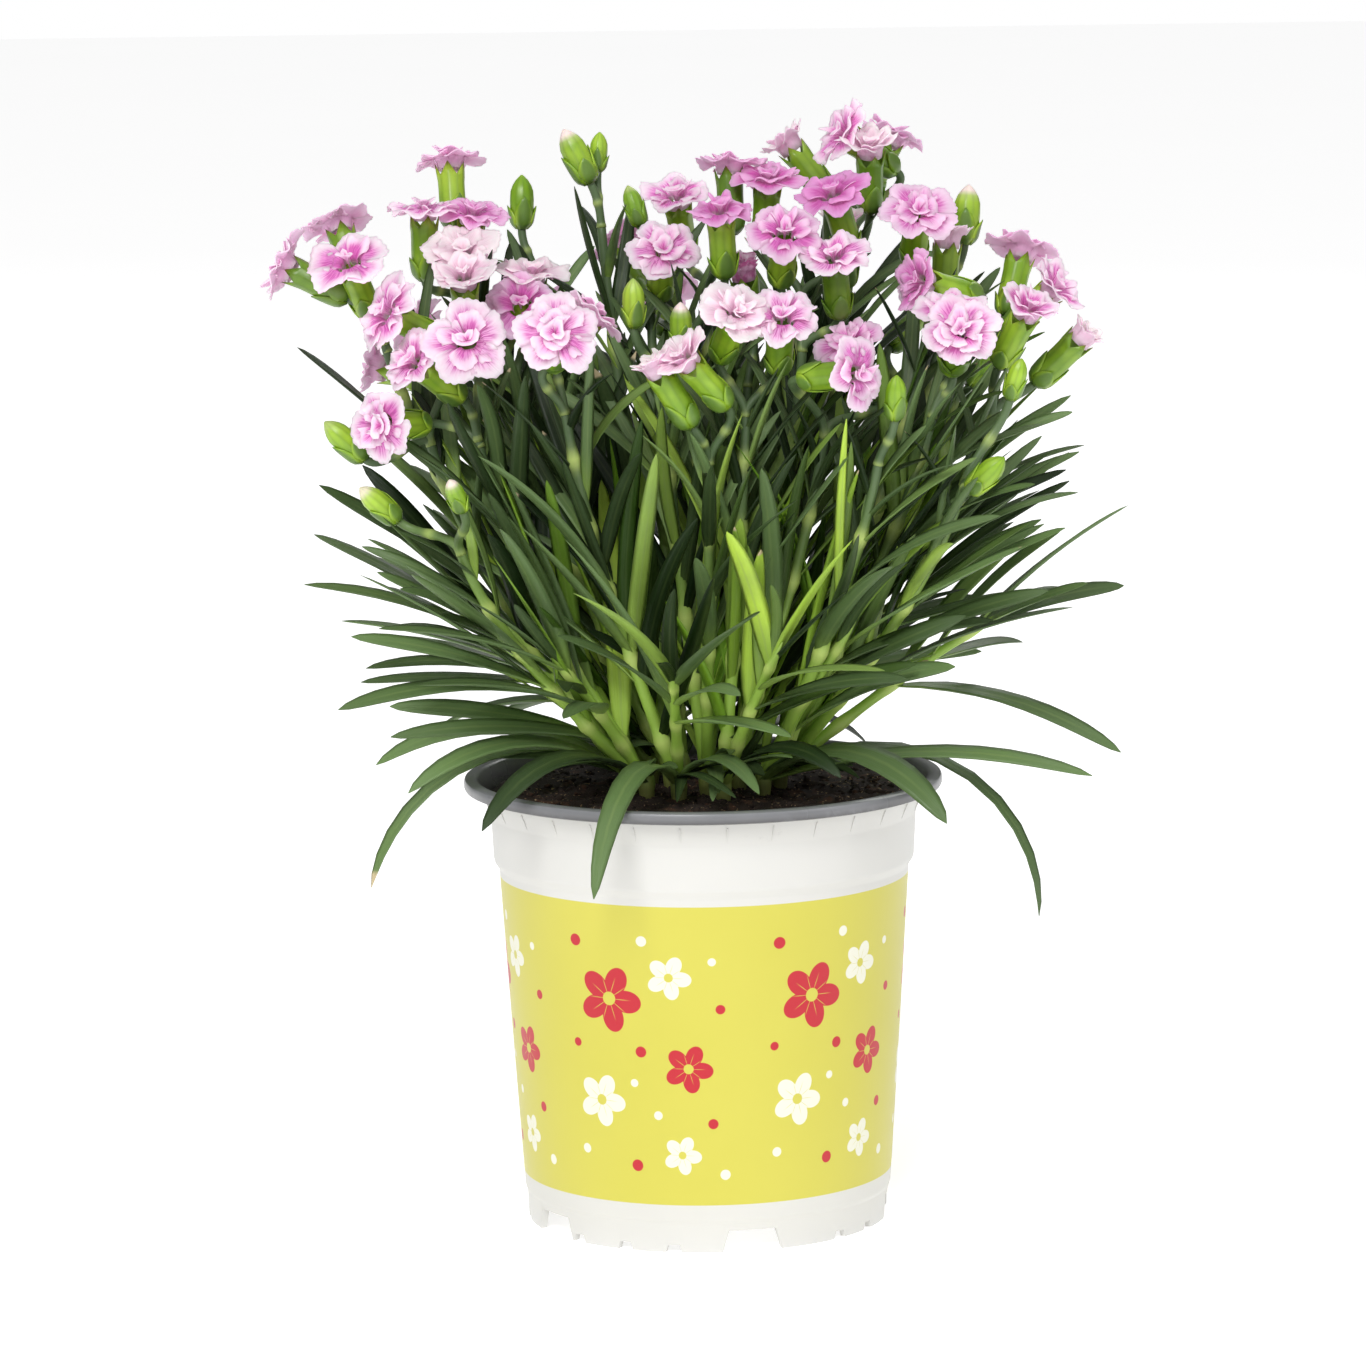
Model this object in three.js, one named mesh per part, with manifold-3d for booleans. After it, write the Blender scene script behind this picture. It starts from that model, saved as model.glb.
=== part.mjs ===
// A potted dianthus: a bushy plant of narrow leaves and many small double pink flowers, standing
// in a round plastic pot of soil. Millimetres, +Z up. The origin is on the pot's axis, in the
// plane that its feet stand on. The plant's fuller side, with the open flowers, looks along -Y.
import * as THREE from 'three';
import { mergeVertices } from 'three/addons/utils/BufferGeometryUtils.js';
import Module from 'manifold-3d';

const wasm = await Module();
wasm.setup();

// ---- Driving dimensions ----

// The pot: a thin moulding with a broad rim, a stepped collar and a foot ring with notches.
const RIM_RADIUS = 60;
const RIM_INNER_RADIUS = 56.4;
const RIM_HEIGHT = 3;
const POT_HEIGHT = 112.5;
const COLLAR_TOP_RADIUS = 55.6;
const COLLAR_RADIUS = 53.4;
const COLLAR_BASE_RADIUS = 52.8;
const COLLAR_BASE_Z = 92;
const COLLAR_STEP_Z = 90;
const WALL_TOP_RADIUS = 51.6;
const WALL_BASE_RADIUS = 46.1;
const CREASE_Z = 7.8;
const FOOT_RADIUS = 45.4;
const FOOT_WALL = 1.6;
const WALL = 1.3;
const FLOOR_Z = 6.4;
const FLOOR_THICKNESS = 1.6;
const POT_SIDES = 28;

// The foot ring's openings, by the angle at which each one stands, in degrees round +Z.
const DRAIN_ANGLES = [-76, -4, 68, 140, -148];
const DRAIN = { low: 16, high: 12, height: 5.4 };
const NOTCH_ANGLES = [-135, -117, -101, -44, -29, 27, 43, 99, 115, 171, 187];
const NOTCH = { low: 4.6, high: 2.8, height: 1.9 };
const DRAIN_HOLE = { radius: 4, distance: 33 };

// The soil: it fills the pot nearly to the rim and swells a little round the crown.
const SOIL_Z = 106;
const SOIL_SWELL = 2.6;
const SOIL_GAP = 0.3;
const SOIL_LUMP = 0.8;
const SOIL_SIDES = 20;
const SOIL_RINGS = [33, 15];
const HOLE_DEPTH = 11;

// A shoot's foot, stems and flower stems.
const FOOT_STEM_RADIUS = 2.1;
const CROWN_Z = 112;
const STEM_RADIUS = 1.9;
const STEM_TIP_RADIUS = 1.35;
const PEDICEL_RADIUS = 1.1;
const ROOT_RADIUS = 1.1;
const PEDICEL_ROOT_RADIUS = 0.6;
const STEM_SIDES = 5;
const FORK_DROP = 13;
const BRANCH_STEP = 0.05;
const TUFT_RISE = 3;
const TUFT_TAPER = 0.4;

// A main stem's bend: how far along it the two bends stand, how far each leans outward, and how
// far the upper one drops. A flower stem's bend: how far it runs on before it turns to its head.
const LOWER_BEND = { share: 0.3, lean: 0.08 };
const UPPER_BEND = { share: 0.72, lean: 0.12, drop: 4 };
const PEDICEL_BEND = { ahead: 0.35, back: 0.4 };

// A flower: a ribbed green calyx that opens in five teeth, and the petals seated in its mouth.
const CALYX_LENGTH = 14;
const CALYX_RADIUS = 3.3;
const CALYX_SHOULDER = 0.82;
const TOOTH_RISE = 2.6;
const TOOTH_DIP = 0.7;
const TOOTH_RADIUS = 3.9;
const THROAT_RADIUS = 3.2;
const THROAT_RISE = 3.6;
const CLAW_DEPTH = 3.4;
const SEAT_GAP = 0.56;
const LIMB_RISE = 5;
const CLOSED_LIFT = 80;
const OUTER_POINTS = 15;
const NOTCH_DEPTH = 0.78;
const RUFFLE = 0.9;
const INNER_SHARE = 0.5;
const INNER_NOTCH = 0.72;
const INNER_RISE = 2.4;
const BUD_SHOULDER = 0.3;
const HEAD_BALLS = [-12, -8.5, -5, -1.5];

// A leaf: a long narrow blade, keeled below.
const LEAF_KEEL = 0.7;
const LEAF_CHANNEL = 0.3;
const LEAF_ROOT = 0.1;

// The room that each part keeps free of others, as a radius round its middle line.
const ROOM = {
  foot: 2.6, stem: 1.6, stemTry: 2, pedicel: 1.3, pedicelTry: 1.5, tuft: 1.8,
  leaf: 1.6, leafEdge: 1.3, heart: 4.2, petal: 2.6, petalEdge: 2.3,
};
const OWN_ROOM = 10;
const REACH_MARGIN = 8;

// Where a leaf's sections stand along it: the more it is long and bent, the more it has.
const LEAF_STATIONS = [
  { limit: 1700, places: [0, 0.42] },
  { limit: 5000, places: [0, 0.3, 0.68] },
  { limit: Infinity, places: [0, 0.26, 0.54, 0.82] },
];

// The places along a flowering stem, along a leafy side stem and along a flower's own stem,
// where its sections meet.
const STEM_STATIONS = [0, 0.32, 0.66, 1];
const TUFT_STATIONS = [0, 0.5, 1];
const PEDICEL_STATIONS = [0, 0.45];

// The leaves stand in pairs. Each pair's section of the stem, its place in the section, and its
// leaves' length, width, angle to the stem and droop.
const LEAVES = {
  main: [
    { section: 0, share: 0.4, length: 62, width: 5.6, angle: 34, droop: 22 },
    { section: 1, share: 0.12, length: 58, width: 5.2, angle: 28, droop: 14 },
    { section: 2, share: 0.12, length: 44, width: 4.4, angle: 25, droop: 10 },
  ],
  side: [
    { section: 1, share: 0.3, length: 56, width: 5.2, angle: 27, droop: 14 },
  ],
  tuft: [
    { section: 1, share: 0.12, length: 54, width: 5.8, angle: 36, droop: 24 },
    { section: 1, share: 0.9, length: 50, width: 5.4, angle: 18, droop: 18 },
  ],
};

// Colours.
const PETAL_PINK = 0xe9b7de;
const LEAF_GREEN = 0x4f6b3c;

// ---- Where things grow ----

// The flowers: the middle of the petals, the azimuth and elevation that the flower looks along
// in degrees, the radius of the open petals, and how far it is open, from 0, a tip, to 1, flat.
const FLOWERS = {
  1: [[-62, 34, 266], 100, 72, 9.5, 1.1],
  2: [[-103, -2, 242], 168, 26, 9.5, 0.9],
  3: [[-90, 18, 251], 120, 52, 9, 0.95],
  4: [[-86, -12, 244], -115, 52, 10.5, 0.9],
  5: [[-68, 15, 255], -90, 86, 9.5, 1],
  6: [[-55.5, 17, 253.5], -60, 70, 9, 0.95],
  7: [[-77, -22, 232], -150, 28, 10.5, 1],
  8: [[-58, 3.5, 245], -95, 55, 10, 0.9],
  9: [[-57.5, -9, 239.8], -92, 58, 8.5, 0.6],
  10: [[-41, 11.5, 239], -80, 78, 9.5, 0.9],
  11: [[-44, 1, 231.5], -95, 30, 9, 0.85],
  12: [[-56, -36, 226], -97, 22, 10.5, 1],
  13: [[-34, -52, 229], -88, 27, 11, 1],
  14: [[-24, -32, 232], 15, 45, 9, 1],
  15: [[-70, -31, 221], -140, 35, 9, 0.85],
  16: [[-78, -34, 205], -125, 4, 9, 1],
  18: [[-82, 20, 214], 165, 12, 7, 0.6],
  20: [[-20, 54, 243], 140, 52, 9, 0.95],
  21: [[-8, 8, 244], -85, 45, 10, 0.95],
  22: [[-5, 44, 255], -105, 62, 9, 0.8],
  23: [[6, -2, 255], -100, 72, 8.5, 1],
  24: [[8.6, 30.4, 264.4], 95, 78, 9, 0.95],
  25: [[18.3, 23.8, 260.8], -80, 72, 9.5, 0.95],
  26: [[22, -13, 250], -85, 50, 9.5, 0.95],
  27: [[11.5, 14, 239], -120, 74, 7.5, 0.55],
  28: [[34, 6, 258], -120, 60, 9.5, 0.9],
  29: [[33.5, -19, 244.5], -100, 60, 9, 0.85],
  30: [[37, 24, 250], -95, 75, 6.5, 0.3],
  31: [[23, 46, 268], 170, 52, 7.5, 0.5],
  32: [[36.5, 29.5, 271], -155, 34, 9, 0.9],
  33: [[44, 24, 268.5], -90, 70, 8, 0.5],
  34: [[51, 54, 269], 30, 62, 9, 0.9],
  35: [[55, -6, 254], -85, 48, 10, 0.95],
  36: [[54, -16, 237], -150, 15, 8.5, 0.7],
  37: [[63, 16, 246], 60, 82, 7.5, 0.45],
  38: [[82, 22, 242], 60, 62, 9.5, 0.85],
  39: [[90, 4, 234], -25, 42, 8.5, 0.7],
  40: [[82, -18, 231], -45, 56, 8.5, 0.6],
  41: [[97, -4, 223], -15, 44, 5.5, 0.15],
  42: [[9.8, -48, 233.2], -72, 42, 9.5, 0.85],
  43: [[20.6, -45.4, 232], -85, 52, 9.5, 0.95],
  44: [[37, -20, 223], -125, 52, 9, 0.9],
  45: [[39, -58, 219], -42, 8, 9, 1],
  46: [[62, -30, 232], -95, 66, 9.5, 0.9],
  47: [[64, -39, 227], -86, 34, 10, 0.95],
  48: [[-4, -50, 223], -145, 45, 8, 0.6],
  49: [[-11, -46, 221], -160, 58, 6, 0.25],
  51: [[-42, 64, 224], 120, 38, 9.5, 0.95],
  52: [[-10, 74, 228], 98, 34, 10, 1],
  54: [[60, 54, 226], 45, 36, 9.5, 0.95],
  55: [[-72, 46, 222], 148, 34, 9, 0.9],
};

// The closed buds: the tip, where it points, and its size beside a full calyx.
const BUDS = {
  61: [[-33, 33, 272], 175, 64, 1.05],
  62: [[-24, 37, 271], 60, 82, 0.7],
  63: [[-44, 42, 260], 80, 84, 0.95],
  64: [[-17, 28, 258], 150, 70, 0.75],
  65: [[-15.5, -23, 239], -90, 84, 0.85],
  66: [[-92, -16, 204], 185, 44, 0.95],
  67: [[-83, -28, 189], -160, 42, 0.9],
  68: [[-60, -56, 194], -120, 55, 0.7],
  69: [[69, 29, 257], 60, 80, 1.05],
  70: [[74, -42, 196], -30, 42, 0.9],
  71: [[48, -48, 217], -80, 75, 0.8],
  72: [[79, -32, 219], -40, 70, 0.75],
  73: [[-4, -12, 232], -90, 78, 0.85],
  74: [[-30, 78, 206], 115, 50, 0.85],
  75: [[76, 44, 214], 30, 50, 0.85],
};

// The shoots: where each one's foot stands in the soil, the flowers and buds that each of its
// stems carries, the leafy side stems by azimuth, elevation and length, and the long leaves that
// start at its crown, by azimuth, elevation, droop, length and width.
const SHOOTS = [
  {
    foot: [-19, 4],
    stems: [[2, 3, 4]],
    tufts: [[170, 46, 50], [190, 54, 44]],
    leaves: [[197, 36, 112, 84, 6], [190, 35, 70, 72, 6.5]],
  },
  { foot: [-13, 11], stems: [[1, 5], [6, 8], [18]], tufts: [[154, 34, 46]], leaves: [] },
  { foot: [-18, -5], stems: [[7, 66]], tufts: [[206, 52, 46]], leaves: [[206, 30, 80, 66, 7]] },
  {
    foot: [-14, -13],
    stems: [[12, 15, 16], [67, 68]],
    tufts: [[222, 50, 42]],
    leaves: [[228, 42, 90, 66, 7]],
  },
  { foot: [-8, 3], stems: [[9, 11], [10]], tufts: [], leaves: [] },
  {
    foot: [-6, -16],
    stems: [[13, 14]],
    tufts: [[268, 48, 40]],
    leaves: [[250, 40, 112, 74, 6.5], [298, 36, 84, 46, 5]],
  },
  { foot: [-5, 13], stems: [[20, 64], [61, 62], [63]], tufts: [[118, 42, 36]], leaves: [] },
  { foot: [1, 8], stems: [[22, 24], [27]], tufts: [], leaves: [] },
  { foot: [1, -8], stems: [[21, 23], [48, 49], [65, 73]], tufts: [], leaves: [] },
  {
    foot: [5, -17],
    stems: [[42, 43], [45, 44]],
    tufts: [[300, 54, 42]],
    leaves: [[290, 45, 95, 44, 6]],
  },
  { foot: [9, -1], stems: [[25, 28], [26, 29]], tufts: [], leaves: [] },
  { foot: [10, 9], stems: [[31, 32], [33, 34, 30]], tufts: [[56, 36, 40]], leaves: [] },
  {
    foot: [15, -9],
    stems: [[46, 47], [35, 36], [71]],
    tufts: [[322, 56, 44]],
    leaves: [[318, 40, 88, 66, 9], [336, 20, 36, 84, 6]],
  },
  {
    foot: [19.3, 1],
    stems: [[38, 39, 37], [40, 41], [69], [70, 72]],
    tufts: [[16, 33, 63], [356, 60, 50]],
    leaves: [[350, 46, 128, 92, 5]],
  },
  { foot: [4, 18], stems: [[52], [54, 75]], tufts: [[76, 48, 34]], leaves: [[50, 34, 74, 66, 7]] },
  { foot: [-12, 18], stems: [[51, 74], [55]], tufts: [], leaves: [[104, 36, 84, 62, 7]] },
];

// Flowers that press against each other and hold together as one.
const PAIRS = [
  [5, 6], [12, 15], [10, 11], [24, 25], [26, 29], [32, 33], [42, 43], [46, 47], [48, 49],
];

// ---- Small tools ----

const DEG = Math.PI / 180;
const SLIVER = 0.02;
const UP = new THREE.Vector3(0, 0, 1);
const point = (x, y, z) => new THREE.Vector3(x, y, z);

function heading(azimuth, elevation) {
  const flat = Math.cos(elevation * DEG);
  const rise = Math.sin(elevation * DEG);
  return point(flat * Math.cos(azimuth * DEG), flat * Math.sin(azimuth * DEG), rise);
}

let seed = 15;
function random() {
  seed = (seed * 16807) % 2147483647;
  return seed / 2147483647;
}

function between(low, high) {
  return low + (high - low) * random();
}

function blend(a, b, t) {
  return a.clone().lerp(b, t);
}

// Two directions square to an axis, and to each other.
function across(axis, hint) {
  const u = hint.clone().addScaledVector(axis, -hint.dot(axis)).normalize();
  return [u, axis.clone().cross(u)];
}

// The hint that keeps a flower's sections from turning as its stem bends from upright.
function sideOf(direction) {
  const side = UP.clone().cross(direction);
  return side.length() > 0.05 ? side.normalize() : point(1, 0, 0);
}

// A ring of points round an axis. Each point's radius and height come from a function of its number.
function ring(centre, axis, hint, count, radiusOf, riseOf = () => 0, turn = 0) {
  const [u, v] = across(axis, hint);
  return Array.from({ length: count }, (_, k) => {
    const angle = turn + (2 * Math.PI * k) / count;
    const radius = radiusOf(k);
    return centre.clone()
      .addScaledVector(u, radius * Math.cos(angle))
      .addScaledVector(v, radius * Math.sin(angle))
      .addScaledVector(axis, riseOf(k));
  });
}

// Joins a row of rings into a closed surface. Next to a ring of n points stands one of n, of a
// whole multiple of n, or a single point. An open end is closed flat.
function skin(rings) {
  const corners = [];
  const face = (...points) => points.forEach((p) => corners.push(p.x, p.y, p.z));
  for (let i = 1; i < rings.length; i += 1) {
    const rising = rings[i - 1].length <= rings[i].length;
    const few = rising ? rings[i - 1] : rings[i];
    const many = rising ? rings[i] : rings[i - 1];
    const share = many.length / few.length;
    many.forEach((a, k) => {
      const b = many[(k + 1) % many.length];
      const f = few[Math.floor(k / share)];
      const g = few[(Math.floor(k / share) + 1) % few.length];
      const closes = few.length > 1 && (k + 1) % share === 0;
      if (rising) {
        face(f, b, a);
        if (closes) face(f, g, b);
      } else {
        face(f, a, b);
        if (closes) face(f, b, g);
      }
    });
  }
  const first = rings[0];
  const last = rings[rings.length - 1];
  for (let k = 1; k < first.length - 1; k += 1) face(first[0], first[k + 1], first[k]);
  for (let k = 1; k < last.length - 1; k += 1) face(last[0], last[k], last[k + 1]);
  const positions = new THREE.Float32BufferAttribute(corners, 3);
  return new THREE.BufferGeometry().setAttribute('position', positions);
}

// A closed geometry as a solid that can be joined and cut.
function solid(geometry) {
  const bare = geometry.clone();
  bare.deleteAttribute('normal');
  bare.deleteAttribute('uv');
  const merged = mergeVertices(bare, 1e-4);
  const vertProperties = new Float32Array(merged.attributes.position.array);
  const triVerts = new Uint32Array(merged.index.array);
  const made = new wasm.Manifold(new wasm.Mesh({ numProp: 3, vertProperties, triVerts }));
  if (made.volume() > 0) return made;
  for (let i = 0; i < triVerts.length; i += 3) {
    [triVerts[i + 1], triVerts[i + 2]] = [triVerts[i + 2], triVerts[i + 1]];
  }
  return new wasm.Manifold(new wasm.Mesh({ numProp: 3, vertProperties, triVerts }));
}

// Joins solids into one body: slivers are closed up, a sealed hollow is filled, and a loose scrap
// is dropped.
function fused(solids) {
  const bodies = wasm.Manifold.union(solids).simplify(SLIVER).decompose();
  return bodies.reduce((a, b) => (a.volume() > b.volume() ? a : b));
}

function geometryOf(body) {
  const { vertProperties, triVerts } = body.getMesh();
  const geometry = new THREE.BufferGeometry();
  geometry.setAttribute('position', new THREE.BufferAttribute(vertProperties, 3));
  geometry.setIndex(new THREE.BufferAttribute(triVerts, 1));
  geometry.computeVertexNormals();
  return geometry;
}

const plant = new THREE.Group();

function add(name, body, color, roughness) {
  const material = new THREE.MeshStandardMaterial({ color, roughness, metalness: 0, flatShading: true });
  const mesh = new THREE.Mesh(geometryOf(body), material);
  mesh.name = name;
  plant.add(mesh);
}

// ---- The pot ----

function potBody() {
  const wallRadius = (z) => {
    const share = (z - CREASE_Z) / (COLLAR_STEP_Z - CREASE_Z);
    return WALL_BASE_RADIUS + share * (WALL_TOP_RADIUS - WALL_BASE_RADIUS);
  };
  const rimBase = POT_HEIGHT - RIM_HEIGHT;
  const floorTop = FLOOR_Z + FLOOR_THICKNESS;
  const profile = [
    [0, FLOOR_Z],
    [FOOT_RADIUS - FOOT_WALL, FLOOR_Z],
    [FOOT_RADIUS - FOOT_WALL, 0],
    [FOOT_RADIUS, 0],
    [WALL_BASE_RADIUS - 0.4, CREASE_Z - 0.4],
    [WALL_BASE_RADIUS, CREASE_Z + 0.3],
    [WALL_TOP_RADIUS, COLLAR_STEP_Z],
    [COLLAR_BASE_RADIUS, COLLAR_BASE_Z],
    [COLLAR_RADIUS, 103.5],
    [COLLAR_TOP_RADIUS, 108.3],
    [COLLAR_TOP_RADIUS, rimBase],
    [RIM_RADIUS, rimBase],
    [RIM_RADIUS, POT_HEIGHT - 0.4],
    [RIM_INNER_RADIUS, POT_HEIGHT],
    [COLLAR_RADIUS - WALL, 104.5],
    [WALL_TOP_RADIUS - WALL, COLLAR_STEP_Z - 1],
    [wallRadius(floorTop) - WALL, floorTop],
    [0, floorTop],
  ];
  const shell = new THREE.LatheGeometry(profile.map(([r, z]) => new THREE.Vector2(r, z)), POT_SIDES);
  return solid(shell.rotateX(Math.PI / 2));
}

// A prism with a trapezoid face that cuts through the foot ring from the standing plane up.
function footCutter(angle, { low, high, height }) {
  const outline = new THREE.Shape([
    new THREE.Vector2(-low / 2, -1),
    new THREE.Vector2(low / 2, -1),
    new THREE.Vector2(high / 2, height),
    new THREE.Vector2(-high / 2, height),
  ]);
  const prism = new THREE.ExtrudeGeometry(outline, { depth: 8, bevelEnabled: false });
  prism.rotateX(Math.PI / 2);
  prism.rotateZ(Math.PI / 2);
  prism.translate(FOOT_RADIUS - 5, 0, 0);
  prism.rotateZ(angle * DEG);
  return solid(prism);
}

function drainHole(angle) {
  const hole = new THREE.CylinderGeometry(DRAIN_HOLE.radius, DRAIN_HOLE.radius, 6, 6);
  hole.rotateX(Math.PI / 2);
  hole.translate(DRAIN_HOLE.distance, 0, FLOOR_Z + 1);
  hole.rotateZ(angle * DEG);
  return solid(hole);
}

const footCuts = [
  ...DRAIN_ANGLES.map((angle) => footCutter(angle, DRAIN)),
  ...DRAIN_ANGLES.map(drainHole),
  ...NOTCH_ANGLES.map((angle) => footCutter(angle, NOTCH)),
];
add('pot', potBody().subtract(wasm.Manifold.union(footCuts)), 0xe6e6e2, 0.35);

// ---- The soil ----

// The height of the soil's surface: a low swell round the crown with small lumps.
function soilHeight(x, y) {
  const distance = Math.hypot(x, y) / COLLAR_RADIUS;
  const lumps = Math.sin(x * 0.42 + 1) * Math.cos(y * 0.37) + Math.sin(x * 0.19 - y * 0.53);
  return SOIL_Z + SOIL_SWELL * (1 - distance * distance) + SOIL_LUMP * lumps * 0.5;
}

function soilBody() {
  const inner = COLLAR_RADIUS - WALL - SOIL_GAP - 0.25;
  const floor = FLOOR_Z + FLOOR_THICKNESS + SOIL_GAP;
  const baseRadius = WALL_BASE_RADIUS - WALL - SOIL_GAP - 0.35;
  const stepRadius = WALL_TOP_RADIUS - WALL - SOIL_GAP - 0.25;
  const flatRing = (radius, z) => ring(point(0, 0, z), UP, point(1, 0, 0), SOIL_SIDES, () => radius);
  const surface = (radius) => flatRing(radius, 0).map((p) => point(p.x, p.y, soilHeight(p.x, p.y)));
  return solid(skin([
    [point(0, 0, floor)],
    flatRing(baseRadius, floor),
    flatRing(stepRadius, COLLAR_STEP_Z - 1),
    surface(inner),
    surface(SOIL_RINGS[0]),
    surface(SOIL_RINGS[1]),
    [point(0, 0, soilHeight(0, 0))],
  ]));
}

function stemHole([x, y]) {
  const sides = 6;
  const radius = (FOOT_STEM_RADIUS + SOIL_GAP) / Math.cos(Math.PI / sides);
  const hole = new THREE.CylinderGeometry(radius, radius, 2 * HOLE_DEPTH, sides);
  hole.rotateX(Math.PI / 2);
  hole.translate(x, y, soilHeight(x, y));
  return solid(hole);
}

const stemHoles = SHOOTS.map(({ foot }) => stemHole(foot));
add('soil', soilBody().subtract(wasm.Manifold.union(stemHoles)), 0x1d1611, 0.95);

// ---- Room: what is already placed, as small balls, so that what grows later bends clear ----

const taken = [];

function occupy(owner, balls) {
  balls.forEach(([p, radius]) => taken.push({ owner, x: p.x, y: p.y, z: p.z, radius }));
}

// True where a ball lies in the pot's rim, in the soil, or against the pot's outside.
function meetsPot(p, radius) {
  const distance = Math.hypot(p.x, p.y);
  const floor = distance < RIM_INNER_RADIUS - 3 ? SOIL_Z + SOIL_SWELL + SOIL_LUMP : POT_HEIGHT;
  return distance < RIM_RADIUS + radius + 0.6 && p.z < floor + radius + 0.6;
}

function isClear(balls, others) {
  return balls.every(([p, radius], i) => (i <= 5 || !meetsPot(p, radius)) && others.every((t) => {
    const reach = radius + t.radius;
    const dx = p.x - t.x;
    const dy = p.y - t.y;
    const dz = p.z - t.z;
    return dx * dx + dy * dy + dz * dz >= reach * reach;
  }));
}

// ---- The flowers' petals ----

function placed([centre, azimuth, elevation, radius, open]) {
  const axis = heading(azimuth, elevation);
  const mouth = point(...centre).addScaledVector(axis, -LIMB_RISE);
  return { axis, side: sideOf(axis), mouth, radius, open };
}

// One flower's petals: a tapered throat, five broad outer petals with ruffled edges, and a ring
// of five shorter petals standing inside them.
function petals({ axis, side, mouth, radius, open }) {
  const lift = (1 - open) * CLOSED_LIFT * DEG;
  const length = radius - THROAT_RADIUS;
  const spread = THROAT_RADIUS + length * Math.cos(lift);
  const rise = THROAT_RISE + length * Math.sin(lift) + 1;
  const numbers = Array.from({ length: OUTER_POINTS }, (_, k) => k);
  const edge = numbers.map((k) => (k % 3 === 0 ? NOTCH_DEPTH : between(0.95, 1.07)));
  const wave = numbers.map((k) => [0, RUFFLE, -RUFFLE][k % 3] + between(-0.5, 0.5));
  const at = (height) => mouth.clone().addScaledVector(axis, height);
  const inner = Math.max(INNER_SHARE * spread, 2.6);
  const round = (height, count, radiusOf, riseOf, turn) =>
    ring(at(height), axis, side, count, radiusOf, riseOf, turn);
  return skin([
    [at(-CLAW_DEPTH)],
    round(THROAT_RISE, 5, () => THROAT_RADIUS),
    round(rise, OUTER_POINTS, (k) => spread * edge[k], (k) => wave[k]),
    round(THROAT_RISE + 1.6, 5, () => Math.min(NOTCH_DEPTH * inner, THROAT_RADIUS)),
    round(rise + INNER_RISE, 10, (k) => inner * (k % 2 ? 1 : INNER_NOTCH), (k) => (k % 2 ? 0.5 : -0.7)),
    [at(rise + INNER_RISE / 2)],
  ]);
}

function petalBalls({ axis, side, mouth, radius, open }) {
  const lift = (1 - open) * CLOSED_LIFT * DEG;
  const reach = radius * Math.cos(lift);
  const centre = mouth.clone().addScaledVector(axis, LIMB_RISE + radius * 0.5 * Math.sin(lift));
  const balls = [[centre, ROOM.heart]];
  ring(centre, axis, side, 5, () => reach * 0.5).forEach((p) => balls.push([p, ROOM.petal]));
  ring(centre, axis, side, 10, () => reach * 0.86).forEach((p) => balls.push([p, ROOM.petalEdge]));
  return balls;
}

const flowers = {};
Object.entries(FLOWERS).forEach(([number, row]) => {
  flowers[number] = placed(row);
  occupy(`flower ${number}`, petalBalls(flowers[number]));
});

const petalBodies = {};
Object.entries(flowers).forEach(([number, flower]) => {
  petalBodies[number] = solid(petals(flower));
});
const paired = new Set(PAIRS.flat());
const label = (number) => String(number).padStart(2, '0');
PAIRS.forEach(([a, b]) => {
  add(`bloom_${label(a)}_${label(b)}`, fused([petalBodies[a], petalBodies[b]]), PETAL_PINK, 0.6);
});
Object.keys(flowers).filter((number) => !paired.has(Number(number))).forEach((number) => {
  add(`bloom_${label(number)}`, petalBodies[number], PETAL_PINK, 0.6);
});

// ---- Calyxes and buds ----

// A head is what a flower stem ends in: its axis, its side, the point where the stem meets it,
// and the rings from there on.
function calyxHead({ axis, side, mouth }) {
  const at = (height) => mouth.clone().addScaledVector(axis, height);
  const five = (height, radius) => ring(at(height), axis, side, STEM_SIDES, () => radius);
  const teeth = ring(at(0), axis, side, 2 * STEM_SIDES, (k) => (k % 2 ? CALYX_RADIUS : TOOTH_RADIUS),
    (k) => (k % 2 ? -TOOTH_DIP : TOOTH_RISE));
  const rings = [
    five(-CALYX_LENGTH, PEDICEL_RADIUS + 0.1),
    five(-CALYX_LENGTH * CALYX_SHOULDER, CALYX_RADIUS * 0.94),
    teeth,
    [at(-CLAW_DEPTH - SEAT_GAP)],
  ];
  const balls = HEAD_BALLS.map((height) => [at(height), CALYX_RADIUS + 0.1]);
  return { axis, side, base: at(-CALYX_LENGTH), rings, balls };
}

function budHead([tip, azimuth, elevation, size]) {
  const axis = heading(azimuth, elevation);
  const side = sideOf(axis);
  const at = (height) => point(...tip).addScaledVector(axis, height * size);
  const five = (height, radius) => ring(at(height), axis, side, STEM_SIDES, () => radius * size);
  const rings = [
    five(-CALYX_LENGTH, PEDICEL_RADIUS + 0.1),
    five(-CALYX_LENGTH * CALYX_SHOULDER, CALYX_RADIUS * 0.9),
    five(-CALYX_LENGTH * BUD_SHOULDER, CALYX_RADIUS * 0.95),
    [at(0)],
  ];
  const balls = HEAD_BALLS.map((height) => [at(height), CALYX_RADIUS * size + 0.1]);
  return { axis, side, base: at(-CALYX_LENGTH), rings, balls };
}

const heads = {};
SHOOTS.forEach(({ stems }, s) => stems.flat().forEach((number) => {
  heads[number] = FLOWERS[number] ? calyxHead(flowers[number]) : budHead(BUDS[number]);
  occupy(`shoot ${s}`, heads[number].balls);
}));

// ---- Stems ----

function pathBalls(curve, count, radius) {
  return curve.getPoints(count).map((p) => [p, radius]);
}

// How far a stem may be bowed to keep clear, in the order in which the bows are tried.
const BOWS = [0, 5, -5, 10, -10, 15, -15];

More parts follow.
